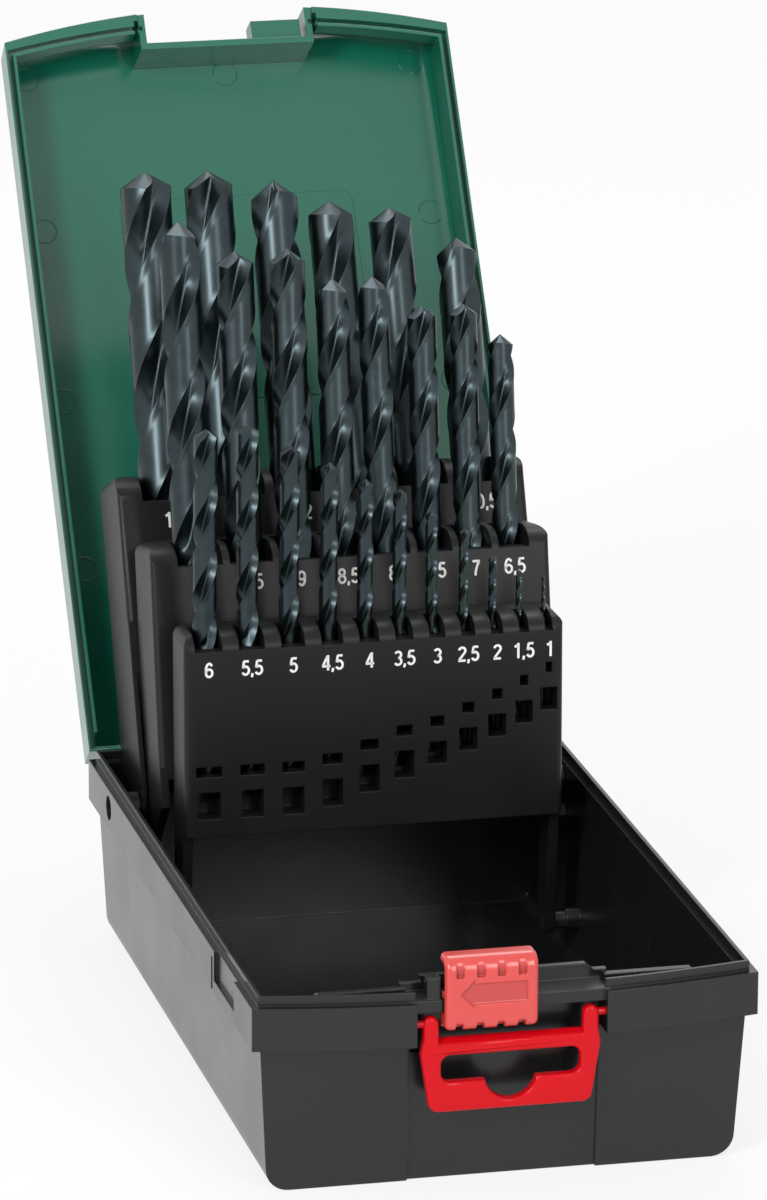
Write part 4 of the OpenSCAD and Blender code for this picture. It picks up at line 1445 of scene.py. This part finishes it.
@dataclass
class Studio:
    """Floor, lights, surroundings and the camera at the photograph's angle."""

    azimuth: float = -13.392
    elevation: float = 16.563
    roll: float = 0.307
    distance: float = 1.82607
    target: tuple[float, float, float] = (-0.010287, -0.0146, 0.1168)
    focal_px: float = 7716.8
    frame_long_px: float = 1200.0
    sensor: float = 36.0
    clip: tuple[float, float] = (0.05, 50.0)
    ambient: float = 0.5
    floor_glow: float = 0.8
    floor_tone: Colour = (0.92, 0.92, 0.92)
    floor_roughness: float = 0.9
    floor_reach: float = 20.0
    floor_drop: float = 0.2 * MM

    def build(self) -> None:
        """Sets up everything round the object."""
        self.camera()
        self.surroundings()
        self.floor()
        for light in (
            Softbox("key_left", (-1.2, -1.2, 1.1), (0.28, 0.9), 22.0),
            Softbox("front_fill", (0.6, -1.9, 0.9), (0.35, 0.9), 11.0),
            Softbox("top_back", (0.2, 0.9, 1.5), (1.0, 0.5), 9.0),
        ):
            light.build()

    def camera(self) -> None:
        """Places the camera where the photograph was taken from."""
        data = bpy.data.cameras.new("photo_camera")
        data.sensor_width = self.sensor
        data.lens = self.focal_px * self.sensor / self.frame_long_px
        data.clip_start, data.clip_end = self.clip
        camera = object_from(data, "photo_camera")
        a, e = math.radians(self.azimuth), math.radians(self.elevation)
        back = Vector((math.sin(a) * math.cos(e), -math.cos(a) * math.cos(e), math.sin(e)))
        camera.location = Vector(self.target) + back * self.distance
        facing = (-back).to_track_quat("-Z", "Y").to_matrix().to_4x4()
        tilt = Matrix.Rotation(math.radians(self.roll), 4, "Z")
        camera.rotation_euler = (facing @ tilt).to_euler()
        bpy.context.scene.camera = camera

    def surroundings(self) -> None:
        """Makes a plain white surrounding that lights the object softly."""
        world = bpy.data.worlds.new("studio")
        bpy.context.scene.world = world
        world.use_nodes = True
        nodes = Nodes(world.node_tree)
        shown = self.seen(nodes)
        background = world.node_tree.nodes["Background"]
        background.inputs["Color"].default_value = (*WHITE, 1.0)
        nodes.feed(background.inputs["Strength"], shown * (1.0 - self.ambient) + self.ambient)

    @staticmethod
    def seen(nodes: Nodes) -> Value:
        """Returns 1 for rays that show the background to the eye, in a mirror or through glass."""
        path = nodes.add("ShaderNodeLightPath").outputs
        shown = Value(nodes, path["Is Camera Ray"])
        for ray in ("Is Glossy Ray", "Is Transmission Ray"):
            shown = shown + Value(nodes, path[ray])
        return shown.clamp()

    def floor(self) -> None:
        """Lays the white floor, which still takes the object's shadow."""
        mesh = bpy.data.meshes.new("floor")
        reach = self.floor_reach
        corners = [(-reach, -reach, 0.0), (reach, -reach, 0.0), (reach, reach, 0.0), (-reach, reach, 0.0)]
        mesh.from_pydata(corners, [], [(0, 1, 2, 3)])
        floor = object_from(mesh, "studio_floor")
        material, nodes, shader = new_material("white_floor", self.floor_tone)
        shader.inputs["Base Color"].default_value = (*self.floor_tone, 1.0)
        shader.inputs["Roughness"].default_value = self.floor_roughness
        glow = nodes.add("ShaderNodeEmission", {}, {"Color": (*WHITE, 1.0), "Strength": 1.0}).outputs[0]
        layers = {0: self.seen(nodes) * self.floor_glow, 1: shader.outputs[0], 2: glow}
        mixed = nodes.add("ShaderNodeMixShader", {}, layers).outputs[0]
        nodes.feed(material.node_tree.nodes["Material Output"].inputs["Surface"], mixed)
        mesh.materials.append(material)
        floor.location.z = -self.floor_drop


def main() -> None:
    """Builds the scene, piece by piece."""
    logging.basicConfig(level=logging.INFO, format="%(name)s: %(message)s")
    frame = CaseFrame(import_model())
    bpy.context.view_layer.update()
    bpy.context.scene.view_settings.view_transform = "Standard"
    Studio().build()
    drills = Drills(frame, TwistDrillTree())
    CaseBase(frame).build()
    Lid(frame).build()
    banks = (
        DrillBank(frame, "front", half_steps(6.0, 1.0), 8.5 * MM),
        DrillBank(frame, "middle", half_steps(10.0, 6.5), 9.7 * MM),
        DrillBank(frame, "rear", half_steps(13.0, 10.5), 12.5 * MM),
    )
    for bank in banks:
        bank.build(drills)
    drills.build()
    LatchSlider(frame).build()
    Hanger(frame).build()


if __name__ == "__main__":
    main()
